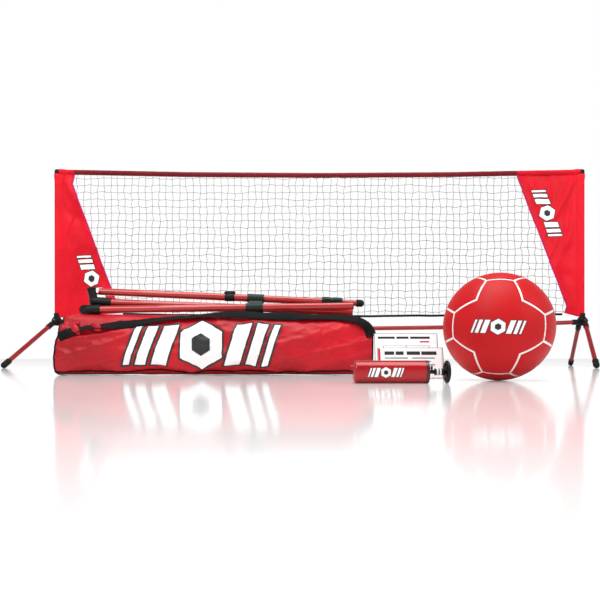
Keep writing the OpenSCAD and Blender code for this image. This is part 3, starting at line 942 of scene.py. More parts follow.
@dataclass
class NetFrame:
    """Standing frame: uprights, bars, hubs and legs."""

    finishes: Finishes
    pole_radius: float = 0.008
    bar_radius: float = 0.0095
    ring_gap: float = 0.004
    ring_profile: tuple[Point2, ...] = ((-0.0022, 0.0), (-0.001, 0.0007), (0.001, 0.0007), (0.0022, 0.0))
    snap_gap: float = 0.03
    snap_radius: float = 0.0032
    snap_profile: tuple[Point2, ...] = ((-0.002, 1.0), (0.0012, 1.0), (0.0019, 0.7), (0.0021, 0.15))

    def __post_init__(self) -> None:
        """Finds the centre lines of both bars."""
        self.top = BarLine("top_tube", self.pole_radius)
        self.bar = BarLine("bar_tube", self.bar_radius)
        self.y = self.top.y
        self.top_z = float(self.top.z(self.top.xs[0]))

    def upright_x(self, side: Side) -> float:
        """Middle of an upright along the net."""
        lo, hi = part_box("upright_left" if side is Side.LEFT else "upright_right")
        return (lo.x + hi.x) / 2

    def build(self) -> None:
        """Dresses the frame's nodes and adds its small parts."""
        f = self.finishes
        for bar in ("bar_tube", "top_tube"):
            f.dress(f.tube, *(f"{bar}_{i}" for i in TUBE_NUMBERS))
        f.dress(f.tube, "upright_left", "upright_right")
        f.dress(f.nylon, "hub_left", "hub_right", "corner_left", "corner_right")
        f.dress(f.steel, "leg_pins", "tube_spigots")
        for leg in ("front_left", "rear_left", "front_right", "rear_right"):
            f.dress(f.nylon, f"{leg}_knuckle")
            f.dress(f.tube, f"{leg}_leg")
            f.dress(f.rubber, f"{leg}_foot")
        self.joint_rings()
        self.snap_buttons()

    def joint_rings(self) -> None:
        """Adds the swaged rings where the bars' tubes meet."""
        parts = MeshParts()
        for line in (self.top, self.bar):
            for x in line.xs[1:-1]:
                z = float(line.z(x))
                for off in (-self.ring_gap, self.ring_gap):
                    path = np.array([[x + off + d, self.y, z] for d, _ in self.ring_profile])
                    rise = np.array([rise for _, rise in self.ring_profile])
                    parts.add(*tube(path, line.radius + rise, 28))
        ring = parts.make("bar_joint_rings", self.finishes.tube)
        place(ring, "net_frame", "red_tube")

    def snap_buttons(self) -> None:
        """Adds the sprung buttons that lock the bottom bar's tubes."""
        parts = MeshParts()
        face = self.y - self.bar.radius
        share = np.array([share for _, share in self.snap_profile])
        for x in self.bar.xs[1:-1]:
            for off in (-self.snap_gap, self.snap_gap):
                z = float(self.bar.z(x + off))
                path = np.array([[x + off, face - d, z] for d, _ in self.snap_profile])
                parts.add(*tube(path, self.snap_radius * share, 14))
        buttons = parts.make("snap_buttons", self.finishes.steel)
        place(buttons, "net_frame", "bare_steel")


@dataclass(frozen=True)
class Pull:
    """Long crease that runs across a banner from near one of its edges.

    Its start, reach and width are shares of the banner's width and height, and its turn is in radians.
    """

    start: Point2
    turn: float
    reach: float
    width: float
    depth: float
    run_in: float = 0.05
    waver: float = 0.02
    strength: float = 1.7

    def height(self, x: float, z: float) -> float:
        """Height of the crease at a place given as shares of the banner's width and height."""
        dx, dz = x - self.start[0], z - self.start[1]
        along = dx * math.cos(self.turn) + dz * math.sin(self.turn)
        across = -dx * math.sin(self.turn) + dz * math.cos(self.turn)
        across += self.waver * math.sin(along * 9 + self.start[0] * 20)
        if not -self.run_in < along < self.reach:
            return 0.0
        amount = math.sin(math.pi * (along + self.run_in) / (self.reach + self.run_in)) ** 0.7
        return self.strength * self.depth * amount * math.exp(-((across / self.width) ** 2))


BANNER_PULLS = (
    Pull((0.05, 0.02), 0.55, 0.9, 0.050, 0.0034),
    Pull((0.05, 0.05), 0.95, 0.8, 0.045, -0.0026),
    Pull((0.10, 0.98), -0.75, 0.7, 0.050, 0.0030),
    Pull((0.02, 0.80), -0.35, 0.6, 0.035, -0.0022),
    Pull((0.85, 0.03), 2.45, 0.6, 0.050, 0.0030),
    Pull((0.55, 0.02), 1.75, 0.5, 0.050, -0.0024),
    Pull((0.03, 0.45), 0.15, 0.5, 0.040, 0.0020),
)


@dataclass
class Banner:
    """Satin banner at one end of the net, sewn round the upright as a pocket.

    Its own coordinates are a, the distance from the upright, and b, the height from its wide end.
    """

    side: Side
    frame_part: NetFrame
    finishes: Finishes
    corner: float = 0.083
    notch: float = 0.073
    notch_at: float = 0.044
    wide: float = 0.302
    pocket: float = 0.0098
    over_elbow: float = 0.0021
    elbow_reach: float = 0.042
    elbow_slope: float = 0.012
    stitch_at: float = 0.024
    slack_from_stitch: float = 0.03
    bar_reach: float = 0.1
    foot_reach: float = 0.05
    broad_waves: float = 0.0060
    small_waves: float = 0.0024
    creases: float = 0.0030
    cloth_thickness: float = 0.0007
    stitch_pitch: float = 0.0034
    stitch_radius: float = 0.00028
    hem: float = 0.007
    mark_height: float = 0.062
    mark_from: float = 0.075
    mark_inset: float = 0.040

    def __post_init__(self) -> None:
        """Takes the banner's corners from its node."""
        self.node = "banner_left" if self.side is Side.LEFT else "banner_right"
        lo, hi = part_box(self.node)
        self.x0 = self.frame_part.upright_x(self.side)
        self.low = lo.z
        self.high = hi.z
        self.height = self.high - self.low
        self.y = self.frame_part.y
        mesh_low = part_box("bottom_binding")[1].z
        self.end_gap = mesh_low - self.low

    def width(self, b: float) -> float:
        """Distance of the slanted edge from the upright at height b from the wide end."""
        heights = [0, self.notch_at, self.height]
        return float(np.interp(self.height - b, heights, [self.corner, self.notch, self.wide]))

    def lift(self, a: float, b: float) -> float:
        """How far creases push the cloth out of the net's plane."""
        s = self.side.value
        lift = 0.0
        for pull in BANNER_PULLS:
            lift += pull.height(a / self.wide, b / self.height)
        lift += self.broad_waves * swell((a, b * 0.6, 3.1 + s), 7)
        lift += self.small_waves * swell((a, b, 9.7 + s), 22)
        lift += self.creases * (ridge((a * 16 - b * 7, a * 3, 2.6 + s)) - 0.2)
        loose = clamp((a - self.stitch_at) / self.slack_from_stitch)
        return lift * (0.15 + 0.85 * loose)

    def point(self, a: float, b: float, off: float = 0.0) -> Vector:
        """Point on the cloth, off to the bag's side by off."""
        s = self.side.value
        top = self.frame_part.top
        sag = top.z(self.x0 - s * a) - top.z(self.x0)
        if self.side is Side.LEFT:
            foot = self.end_gap * max(0.0, 1 - b / self.foot_reach) * min(1.0, a / self.wide)
            z = self.low + b + foot
            z += float(sag * max(0, 1 - (self.height - b) / self.bar_reach))
        else:
            rise = (b / self.height) ** 8 * self.end_gap * min(1.0, a / self.corner)
            z = self.high - b
            z += rise + float(sag * max(0, 1 - b / self.bar_reach))
        return Vector((self.x0 - s * a, self.y - self.lift(a, b) - off, z))

    def build(self) -> None:
        """Makes the cloth, its hem, its stitching and its graphic."""
        rows, cols = 90, 46
        turns = np.linspace(0, math.pi * 2, 22)
        verts = []
        for j in range(rows):
            b = self.height * j / (rows - 1)
            edge = self.width(b)
            for i in range(cols):
                verts.append(self.point(edge + (self.stitch_at - edge) * i / (cols - 1), b))
            verts += self.pocket_ring(b, turns)
        faces = grid_faces(rows, cols + len(turns))
        cloth = mesh_object(f"{self.node}_cloth", verts, faces, self.finishes.banner)
        thick = cloth.modifiers.new("thickness", "SOLIDIFY")
        thick.thickness, thick.offset = self.cloth_thickness, 0.0
        place(cloth, "net_frame", "banner_satin", self.node)
        trim = self.trim()

    def pocket_ring(self, b: float, turns: np.ndarray) -> list[Vector]:
        """Makes one loop of the sleeve: a drop shape from the seam round the upright and back.

        Args:
            b: Height from the wide end.
            turns: Angles of its points round the upright.

        Returns:
            Its points.
        """
        seam = self.point(self.stitch_at, b)
        below = self.frame_part.top_z - seam.z
        over = self.over_elbow * clamp((self.elbow_reach - below) / self.elbow_slope)
        ring = []
        for t in turns:
            tip = math.cos(t / 2) ** 6
            r = self.pocket * (1 + 0.03 * swell((t, b * 14, 1.5), 1.0)) + over
            a = r * math.cos(t) * (1 - tip) + self.stitch_at * tip
            d = r * math.sin(t) * (1 - tip) + 0.0006 * tip
            x = self.x0 - self.side.value * a
            ring.append(Vector((x, self.y - d + (seam.y - self.y) * tip, seam.z)))
        return ring

    def trim(self) -> list[bpy.types.Object]:
        """Returns the hem, the stitching and the printed graphic, which lie on the cloth."""
        f = self.finishes
        made = []
        bs = np.linspace(0, self.height, 90)
        fold = ((0, -0.0008), (-0.0012, 0.0), (0, 0.0012), (self.hem, 0.0013), (self.hem + 0.0006, 0.0004))
        hem = []
        for b in bs:
            edge = self.width(b)
            for back, off in fold:
                p = self.point(edge - back, b)
                hem.append((p.x, p.y - off, p.z))
        band = mesh_object(f"{self.node}_hem", np.array(hem), grid_faces(len(bs), len(fold)), f.banner_edge)
        made.append(place(band, "net_frame", "banner_satin"))
        parts = MeshParts()
        for back in (0.0025, 0.0052):
            path = np.array([self.point(self.width(b) - back, b, 0.0015) for b in bs[1:-1]])
            parts.add(*stitches(path, self.stitch_pitch, self.stitch_radius))
        for a in (self.stitch_at, self.stitch_at + 0.003):
            path = np.array([self.point(a, b, 0.0009) for b in bs[1:-1]])
            parts.add(*stitches(path, self.stitch_pitch, self.stitch_radius))
        made.append(place(parts.make(f"{self.node}_stitching", f.thread), "net_frame", "banner_satin"))
        return made + self.graphic()

    def graphic(self) -> list[bpy.types.Object]:
        """Returns the printed motif, which runs beside the slanted edge near the wide end."""
        mark = Mark(self.mark_height, step=0.008)
        first = Vector((self.width(self.mark_from) - self.mark_inset, self.mark_from))
        last_b = self.mark_from + mark.width()
        last = Vector((self.width(last_b) - self.mark_inset, last_b))
        along = (last - first).normalized()
        across = Vector((-along.y, along.x))

        def on_cloth(u: float, v: float, off: float) -> Vector:
            """Point above the cloth at a distance along and across the motif."""
            p = first + along * u + across * v
            return self.point(p.x, p.y, off)

        return mark.lay(f"{self.node}_motif", on_cloth, self.finishes, "net_frame", "banner_satin")


@dataclass
class Netting:
    """Open knotted net between the banners, with its hem on the top bar and its lower binding."""

    frame_part: NetFrame
    left: Banner
    right: Banner
    finishes: Finishes
    cell: float = 0.0315
    twine: float = 0.00095
    knot: float = 0.0024
    strand_step: float = 0.011
    bare_corner: float = 0.012
    under_bar: float = 0.0094
    under_banner: float = 0.004
    hem_radius: float = 0.0092
    hem_over_elbow: float = 0.0024
    elbow_reach: float = 0.044
    elbow_slope: float = 0.012
    binding_height: float = 0.010
    binding_wave: float = 0.0016
    binding_sway: float = 0.0025
    broad_waves: tuple[float, float, float] = (0.0044, 0.0045, 0.0040)
    small_waves: tuple[float, float, float] = (0.0072, 0.0012, 0.0068)

    def __post_init__(self) -> None:
        """Reads the lower binding's line."""
        lo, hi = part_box("bottom_binding")
        self.low_x = (lo.x, hi.x)
        self.end_z = hi.z
        self.mid_z = hi.z - (hi.z - lo.z - self.binding_height)
        self.y = self.frame_part.y

    def low(self, x: float) -> float:
        """Top edge of the lower binding at x."""
        edge = self.low_x[0] if x < 0 else self.low_x[1]
        return self.mid_z + (self.end_z - self.mid_z) * min(1.0, abs(x / edge)) ** 1.5

    def high(self, x: float) -> float:
        """Underside of the top hem at x."""
        return float(self.frame_part.top.z(x)) - self.under_bar

    def edges(self, z: float) -> tuple[float, float]:
        """Left and right end of the netting at height z."""
        b = self.left
        left = b.x0 + b.width(min(max(z - b.low, 0), b.height)) - self.under_banner
        b = self.right
        right = b.x0 - b.width(min(max(b.high - z, 0), b.height)) + self.under_banner
        return left, right

    def moved(self, x: float, z: float) -> Vector:
        """Place of a net point after the net's slight waves."""
        broad, small = self.broad_waves, self.small_waves
        side = broad[0] * swell((x, z, 4.1), 8) + small[0] * swell((x, z, 8.9), 32)
        out = broad[1] * swell((x, z * 0.7, 2.2), 3.5) + small[1] * swell((x, z, 5.5), 25)
        slack = broad[2] * swell((x, z, 0.3), 9) + small[2] * swell((x, z, 7.3), 34)
        return Vector((x + side, self.y - 0.001 + out, z + slack))

    def build(self) -> None:
        """Makes the netting, its knots, the hem and the binding."""
        self.mesh()
        self.hem()
        self.lower_binding()

    def mesh(self) -> None:
        """Makes the twine and its knots."""
        parts, knots = MeshParts(), MeshParts()
        ball = ico_ball()
        z_top, z_low = float(self.frame_part.top.z(0)), self.mid_z
        rows = int((z_top - z_low) / self.cell)
        x_first = self.edges(z_top)[0]
        cols = int((self.edges(z_low)[1] - x_first) / self.cell) + 1
        xs = [x_first + self.cell * (i + 0.5) for i in range(cols)]
        zs = [z_low + (z_top - z_low) * (j + 0.5) / rows for j in range(rows)]
        for x in xs:
            low, high = self.low(x), self.high(x)
            low = max(low, self.height_at_edge(x, low, high, True))
            high = min(high, self.height_at_edge(x, low, high, False))
            if high - low > self.cell * 0.5:
                n = max(3, int((high - low) / self.strand_step))
                path = np.array([self.moved(x, low + (high - low) * k / n) for k in range(n + 1)])
                parts.add(*tube(path, self.twine, 5))
        for z in zs:
            left, right = self.edges(z)
            inside = [x for x in np.arange(left, right, 0.0105) if self.low(x) < z < self.high(x)]
            if inside:
                ends = [left, *inside[1:], right] if len(inside) > 10 else inside
                parts.add(*tube(np.array([self.moved(x, z) for x in ends]), self.twine, 5))
            for x in xs:
                if left < x < right and self.low(x) < z < self.high(x):
                    at = np.array(self.moved(x, z))
                    size = self.knot * (1 + 0.15 * swell((x, z, 1.1), 300))
                    knots.add(ball[0] * np.array([1.15, 0.85, 0.8]) * size + at, ball[1])
        net = parts.make("netting_twine", self.finishes.twine)
        place(net, "net_frame", "net_twine", "net_mesh")
        place(knots.make("netting_knots", self.finishes.twine), "net_frame", "net_twine")

    def height_at_edge(self, x: float, low: float, high: float, lower: bool) -> float:
        """Height where a net line at x meets a slanted banner edge, if it meets one.

        Args:
            x: Place of the line.
            low: Lowest height of the net there.
            high: Highest height of the net there.
            lower: Whether the line's lower end is asked for.

        Returns:
            The limit of the line's end.
        """
        banner = self.left if lower else self.right
        a = (x - banner.x0) * (1 if lower else -1)
        if banner.notch < a < banner.wide:
            share = (a - banner.notch) / (banner.wide - banner.notch)
            b = (banner.height - banner.notch_at) * (1 - share)
            return banner.low + b if lower else banner.high - b
        return low if lower else high

    def hem(self) -> None:
        """Makes the cloth hem round the top bar, satin over the banners and dull between them."""
        start, end = self.left.x0 + self.bare_corner, self.right.x0 - self.bare_corner
        left_end = self.left.x0 + self.left.corner
        right_start = self.right.x0 - self.right.wide
        spans = (
            ("left", start, left_end, self.finishes.banner),
            ("middle", left_end, right_start, self.finishes.sleeve),
            ("right", right_start, end, self.finishes.banner),
        )
        top = self.frame_part.top
        turn = np.linspace(0, 2 * math.pi, 20, endpoint=False)
        for name, a, b, material in spans:
            n = max(8, int((b - a) / 0.008))
            verts = []
            for k in range(n + 1):
                x = a + (b - a) * k / n
                z = float(top.z(x))
                for t in turn:
                    tip = max(0.0, -math.sin(t)) ** 5
                    from_end = min(x - self.left.x0, self.right.x0 - x)
                    sock = clamp((self.elbow_reach - from_end) / self.elbow_slope)
                    wave = 0.0005 * swell((x * 30, math.cos(t), math.sin(t)), 1.3)
                    r = self.hem_radius + wave + self.hem_over_elbow * sock
                    squeeze = 1 - 0.75 * tip
                    drop = 0.0045 * tip
                    verts.append((x, self.y + r * math.cos(t) * squeeze, z + r * math.sin(t) - drop))
            faces = grid_faces(n + 1, len(turn), False, True)
            piece = mesh_object(f"top_hem_{name}", np.array(verts), faces, material)
            replaced = ("top_sleeve",) if name == "middle" else ()
            place(piece, "net_frame", "sleeve_fabric", *replaced)
        parts = MeshParts()
        path = np.array([[x, self.y - 0.0042, float(top.z(x)) - 0.0098] for x in np.arange(start, end, 0.02)])
        parts.add(*stitches(path, 0.006, 0.0003))
        place(parts.make("top_hem_stitching", self.finishes.black_thread), "net_frame", "sleeve_fabric")

    def sway(self, x: float) -> float:
        """Distance of the lower binding from the net's plane at x."""
        return self.binding_sway * swell((x, 0, 6.2), 6)

    def lower_binding(self) -> None:
        """Makes the folded tape along the net's lower edge."""
        lo, hi = self.low_x
        xs = np.arange(lo, hi + 0.005, 0.008)
        h = self.binding_height
        front = [(-0.0013, 0), (-0.0016, -h * 0.5), (-0.0012, -h)]
        section = [*front, *((-dy, dz) for dy, dz in reversed(front))]
        verts = []
        for x in xs:
            z = self.low(x)
            wave = self.binding_wave * swell((x, 0, 1.7), 11)
            y = self.y + self.sway(x)
            verts += [(x, y + dy, z + dz + wave) for dy, dz in section]
        faces = grid_faces(len(xs), len(section), False, True)
        tape = mesh_object("bottom_tape", np.array(verts), faces, self.finishes.binding)
        place(tape, "net_frame", "binding_tape", "bottom_binding")
        path = np.array([[x, self.y - 0.0017 + self.sway(x), self.low(x) - 0.0032] for x in xs])
        parts = MeshParts()
        parts.add(*stitches(path, 0.005, 0.0003))
        place(parts.make("bottom_tape_stitching", self.finishes.black_thread), "net_frame", "binding_tape")


def ico_ball() -> tuple[np.ndarray, Faces]:
    """Returns the points and faces of a small faceted ball of radius 1."""
    bm = bmesh.new()
    bmesh.ops.create_icosphere(bm, subdivisions=1, radius=1.0)
    bm.verts.index_update()
    verts = np.array([v.co for v in bm.verts])
    faces = [[v.index for v in f.verts] for f in bm.faces]
    bm.free()
    return verts, faces


# ---------------------------------------------------------------- carry bag


class BagPart(Enum):
    """Reach and depth of the rounding at the bag's left and right end, for each part of its cross-section."""

    DEPTH = ((0.026, 0.08), (0.060, 0.18))
    UPPER = ((0.050, 0.10), (0.120, 0.34))
    LOWER = ((0.020, 0.03), (0.055, 0.14))


# Strap's middle from left to right: distance from the bag's left end, height, and how upright it stands.
STRAP_STOPS = (
    (0.010, 0.0905, 1.00), (0.030, 0.0970, 0.98), (0.056, 0.1050, 0.72), (0.088, 0.1130, 0.48),
    (0.128, 0.1180, 0.58), (0.160, 0.1210, 0.80), (0.190, 0.1260, 0.92), (0.215, 0.1320, 0.75),
    (0.268, 0.1380, 0.50), (0.340, 0.1485, 0.38), (0.393, 0.1535, 0.45), (0.465, 0.1560, 0.80),
    (0.533, 0.1520, 0.72), (0.595, 0.1510, 0.90), (0.658, 0.1500, 0.55), (0.718, 0.1485, 0.62),
    (0.752, 0.1450, 0.70), (0.776, 0.1370, 0.80), (0.794, 0.1240, 0.92), (0.803, 0.1090, 1.00),
    (0.805, 0.0940, 1.00),
)
# Section of the webbing: place across it as a share of its width, and side of its thickness.
WEBBING_SECTION = (
    (-0.5, 0), (-0.46, 0.8), (-0.2, 1.0), (0.2, 1.0), (0.46, 0.8),
    (0.5, 0), (0.46, -0.8), (0.2, -1.0), (-0.2, -1.0), (-0.46, -0.8),
)
# Thickness of a loose fold from one end to the other, as shares of its size.
LOOSE_FOLD_PROFILE = (
    0.12, 0.3, 0.42, 0.5, 0.55, 0.6, 0.66, 0.72, 0.8, 0.88,
    0.95, 1.0, 1.03, 1.03, 0.98, 0.86, 0.66, 0.4, 0.08,
)
# Section of the zip's tape: place across it as a share of half its width, and height.
ZIP_SECTION = ((-1, -0.001), (-0.6, 0.0008), (-0.12, 0.0012), (0.12, 0.0012), (0.6, 0.0008), (1, -0.001))
BOX_FACES = ((0, 1, 3, 2), (4, 6, 7, 5), (0, 4, 5, 1), (2, 3, 7, 6), (0, 2, 6, 4), (1, 5, 7, 3))


@dataclass(frozen=True)
class LooseFold:
    """Small fold of loose cloth, from one place on the bag's front to another."""

    start: Point2
    end: Point2
    size: float


LOOSE_FOLDS = (
    LooseFold((0.026, 0.139), (0.070, 0.090), 0.0085),
    LooseFold((0.050, 0.137), (0.060, 0.118), 0.0060),
    LooseFold((0.090, 0.127), (0.124, 0.104), 0.0090),
)


@dataclass
class CarryBag:
    """Filled nylon carry bag, lofted along its length, with piping, strap, zip and graphic."""

    finishes: Finishes
    rows: int = 260
    cols: int = 150
    square: float = 2.8
    lean: float = 0.020
    cord: float = 0.0019
    shoulder: float = 0.143
    strap_off: float = 0.0036
    strap_width: float = 0.025
    strap_half_thickness: float = 0.0009
    strap_cup: float = 0.0012
    strap_evening: int = 9
    patch_half: Point2 = (0.007, 0.008)
    broad_folds: float = 0.0074
    small_folds: float = 0.0040
    slanted_creases: float = 0.0100
    crossing_creases: float = 0.0052
    fine_creases: float = 0.0018
    left_gathers: float = 0.0072
    right_gathers: float = 0.0034
    crease_level: float = 0.22
    top_lift: float = 0.0014
    left_swell: float = 0.0092
    piping_rise: float = 0.0004
    edge_at: float = 1.09
    panel_rings: int = 12
    panel_dome: float = 0.004
    zip_half_width: float = 0.010
    tooth_pitch: float = 0.0030
    motif_at: Point2 = (0.180, 0.016)
    motif_height: float = 0.100

    def __post_init__(self) -> None:
        """Takes the bag's size from its solid."""
        self.lo, self.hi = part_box("bag_shell")
        self.length = self.hi.x - self.lo.x
        self.y = (self.lo.y + self.hi.y) / 2
        self.half_w = (self.hi.y - self.lo.y) / 2 - 0.003
        self.height = self.hi.z - self.lo.z
        self.half_h = self.height / 2 - 0.002
        t = np.linspace(0, 2 * math.pi, 2001)
        c, s = np.cos(t), np.sin(t)
        y = np.sign(c) * np.abs(c) ** (2 / self.square) * self.half_w
        z = np.sign(s) * np.abs(s) ** (2 / self.square) * self.half_h
        step = np.concatenate([[0], np.cumsum(np.hypot(np.diff(y), np.diff(z)))])
        self.girth = step[-1]
        self.section = (step, y, z)

    def ring(self, v: float) -> tuple[float, float]:
        """Point of the cross-section at a distance v round it from the middle of the back, upward."""
        step, y, z = self.section
        v = v % self.girth
        return float(np.interp(v, step, y)), float(np.interp(v, step, z))

    def shrink(self, u: float, part: BagPart) -> float:
        """Size of a part of the section at u along the bag, 1 in the middle and less at the ends."""
        size = 1.0
        for d, (reach, depth) in zip((u, self.length - u), part.value):
            if d < reach:
                q = 1 - d / reach
                size -= depth * (1 - math.sqrt(max(0.0, 1 - q * q)))
        return size

    def crease(self, u: float, y: float, z: float) -> float:
        """Height of the folds at a place on the skin."""
        level = self.crease_level
        h = self.broad_folds * swell((u * 0.8, y, z), 8) + self.small_folds * swell((u, y * 1.4, z), 17)
        slant = u * 7 + (z - y) * 16
        patchy = 0.55 + 0.45 * swell((u, y, z + 3), 4)
        h += self.slanted_creases * (ridge((slant, u * 2.2, 3.7)) - level) * patchy
        slant = u * 5 - z * 22 + y * 9
        h += self.crossing_creases * (ridge((slant, u * 1.6 + 4, 8.1)) - level)
        h += self.fine_creases * ridge((u * 30, z * 44 + y * 20, 1.9), 2.0)
        left = math.exp(-u / 0.07) * clamp(3 * (z / self.half_h - 0.3))
        right = math.exp(-(self.length - u) / 0.05)
        turn = math.atan2(z, y)
        upper = 0.25 + 0.75 * clamp(z / self.half_h + 0.4)
        h += self.left_gathers * left * math.sin(turn * 13 + 2.2 * swell((turn, u * 6, 0.4), 1.4))
        h += self.right_gathers * upper * right * math.sin(turn * 11 + 2.0 * swell((turn, u * 7, 5.4), 1.4))
        return h

    def skin(self, u: float, v: float, off: float = 0.0) -> Vector:
        """Point on the bag's skin.

        Args:
            u: Distance from the left end.
            v: Distance round the bag from the middle of its back, upward.
            off: Distance out of the skin.

        Returns:
            The point.
        """
        y, z = self.ring(v)
        y *= self.shrink(u, BagPart.DEPTH)
        z *= self.shrink(u, BagPart.UPPER if z > 0 else BagPart.LOWER)
        y *= 1 + 0.03 * (1 - abs(z / self.half_h + 0.25)) - 0.03
        norm = Vector((0, y / self.half_w**2, z / self.half_h**2)).normalized()
        h = self.crease(u, y, z)
        flat = min(1.0, max(0.0, abs(z) / self.half_h - 0.78) / 0.2)
        ahead = clamp((0.030 - y) / 0.045)
        full = self.top_lift + self.left_swell * ahead * max(0.0, 1 - 1.25 * u / self.length)
        h = h * (1 - 0.85 * flat) + flat * (z > 0) * full
        lean = self.lean * (z / self.half_h + 1) / 2 * math.exp(-u / 0.08)
        x = self.lo.x + u + lean
        p = Vector((x, self.y + y, self.lo.z + self.height / 2 + z)) + norm * (h + off)
        p.z = max(p.z, self.lo.z + 0.0006 + max(0.0, off * 0.5))
        return p

    def front(self, u: float, rise: float, off: float = 0.0) -> Vector:
        """Point on the bag's front at a height above its lower edge, measured on the cloth."""
        return self.skin(u, self.girth * 0.5 + self.front_half() - rise, off)

    def front_half(self) -> float:
        """Distance on the cloth from the front's middle down to the bag's lower front edge."""
        return self.girth * 0.125

    def build(self) -> None:
        """Makes the bag and everything sewn to it."""
        self.shell()
        self.piping()
        self.strap()
        self.tongues()
        self.zip()
        self.graphic()

    def shell(self) -> None:
        """Makes the filled body, with its two end panels."""
        verts = []
        far = self.length
        inner = np.linspace(0.006, far - 0.006, self.rows - 6)
        for u in np.concatenate([[0.0, 0.001, 0.003], inner, [far - 0.003, far - 0.001, far]]):
            for c in range(self.cols):
                verts.append(self.skin(float(u), self.girth * c / self.cols))
        faces = grid_faces(self.rows, self.cols, False, True)
        for end, row in ((-1, 0), (1, self.rows - 1)):
            faces += self.end_panel(verts, row, end)
        body = mesh_object("bag_body", verts, faces, self.finishes.bag)
        place(body, "bag", "bag_nylon", "bag_shell")

    def end_panel(self, verts: list[Vector], row: int, end: int) -> list[list[int]]:
        """Adds the rings of one end panel to the points.

        Args:
            verts: The bag's points, which grow.
            row: Row of points at this end.
            end: -1 for the left end and 1 for the right.

        Returns:
            Faces of the panel.
        """
        edge = [verts[row * self.cols + c] for c in range(self.cols)]
        mid = sum(edge, Vector((0, 0, 0))) / self.cols
        faces = []
        last = [row * self.cols + c for c in range(self.cols)]
        for k in range(1, self.panel_rings + 1):
            q = 1 - k / self.panel_rings
            ring = []
            for p in edge if k < self.panel_rings else edge[:1]:
                at = mid + (p - mid) * q
                dome = self.panel_dome * (1 - q * q)
                wave = 0.0035 * swell(at + Vector((4, 0, 0)), 24) * min(1, 3 * (1 - q))
                ring.append(len(verts))
                verts.append(at + Vector((end * (dome + wave), 0, 0)))
            for c in range(self.cols):
                following = (c + 1) % self.cols
                tip = [ring[following], ring[c]] if k < self.panel_rings else [ring[0]]
                faces.append([last[c], last[following], *tip])
            last = ring
        return faces

    def piping(self) -> None:
        """Makes the corded edges round the ends and along the lower edges."""
        parts = MeshParts()
        lowest = self.lo.z + self.cord + self.piping_rise
        for u in (0.002, self.length - 0.003):
            path = np.array([self.skin(u, self.girth * k / self.cols, 0.0006) for k in range(self.cols)])
            path = 0.5 * path + 0.25 * np.roll(path, 1, 0) + 0.25 * np.roll(path, -1, 0)
            path[:, 2] = np.maximum(path[:, 2], lowest)
            parts.add(*tube(path, self.cord, 10, True))
        down = self.edge_at * self.front_half()
        for v in (self.girth * 0.5 + down, self.girth - down):
            path = np.array([self.skin(u, v, 0.0008) for u in np.linspace(0.004, self.length - 0.005, 240)])
            path[:, 2] = np.maximum(path[:, 2], lowest)
            parts.add(*tube(path, self.cord, 10))
        place(parts.make("bag_piping_cord", self.finishes.webbing), "bag", "black_webbing", "bag_piping")

    def strap_line(self) -> list[tuple[Vector, float]]:
        """Centre line of the strap and how upright the webbing stands at each of its points."""
        out = []
        for u, z, upright in smooth_path(STRAP_STOPS, 0.003):
            on_cloth = min(z, self.shoulder * self.shrink(float(u), BagPart.UPPER) ** 1.5)
            p = self.front(float(u), on_cloth - 0.004, self.strap_off)
            p.z = max(p.z, z) if z > on_cloth else p.z
            out.append((p, min(1.0, max(0.1, float(upright)))))
        depth = np.array([p.y for p, _ in out])
        reach = self.strap_evening
        window = np.ones(2 * reach + 1) / (2 * reach + 1)
        even = np.convolve(np.pad(depth, reach, "edge"), window, "valid")
        for (p, _), y, level in zip(out, depth, even):
            p.y = min(y, level) - 0.0004
        return out

    def strap(self) -> None:
        """Makes the webbing strap that climbs the front, runs along the top edge and turns down again."""
        line = self.strap_line()
        verts = []
        for k, (p, upright) in enumerate(line):
            lean = math.acos(upright)
            out = Vector((0, -math.cos(lean), math.sin(lean)))
            along = line[min(k + 2, len(line) - 1)][0] - line[max(k - 2, 0)][0]
            across = out.cross(along).normalized()
            for d, side in WEBBING_SECTION:
                cup = self.strap_cup * (1 - 4 * d * d)
                thick = side * self.strap_half_thickness
                verts.append(p + across * (d * self.strap_width) + out * (thick + cup))
        rows, sides = len(line), len(WEBBING_SECTION)
        faces = grid_faces(rows, sides, False, True)
        faces += [list(range(sides))[::-1], [(rows - 1) * sides + i for i in range(sides)]]
        webbing = mesh_object("bag_strap_webbing", verts, faces, self.finishes.webbing)
        place(webbing, "bag", "black_webbing", "bag_strap")
        self.strap_ends()

    def strap_ends(self) -> None:
        """Makes the patch at each end of the strap, with the stitching round it."""
        parts, patch = MeshParts(), MeshParts()
        wide, tall = self.patch_half

        def on_strap(u: float, r: float) -> Vector:
            """Point on the strap's face."""
            return self.front(u, r, self.strap_off + 0.0018)

        for u, r in ((0.016, 0.0895), (self.length - 0.010, 0.096)):
            box = [(u - wide, r - tall), (u + wide, r - tall), (u + wide, r + tall), (u - wide, r + tall)]
            patch.add(*draped_patch(box, on_strap, 0.006))
            for a, b in zip(box, box[1:] + box[:1]):
                path = []
                for t in np.linspace(0.1, 0.9, 8):
                    across, up = a[0] + (b[0] - a[0]) * t, a[1] + (b[1] - a[1]) * t
                    path.append(self.front(across, up, self.strap_off + 0.0022))
                parts.add(*stitches(np.array(path), 0.003, 0.0003))
        place(patch.make("strap_patches", self.finishes.webbing), "bag", "black_webbing")
        place(parts.make("strap_stitching", self.finishes.black_thread), "bag", "black_webbing")

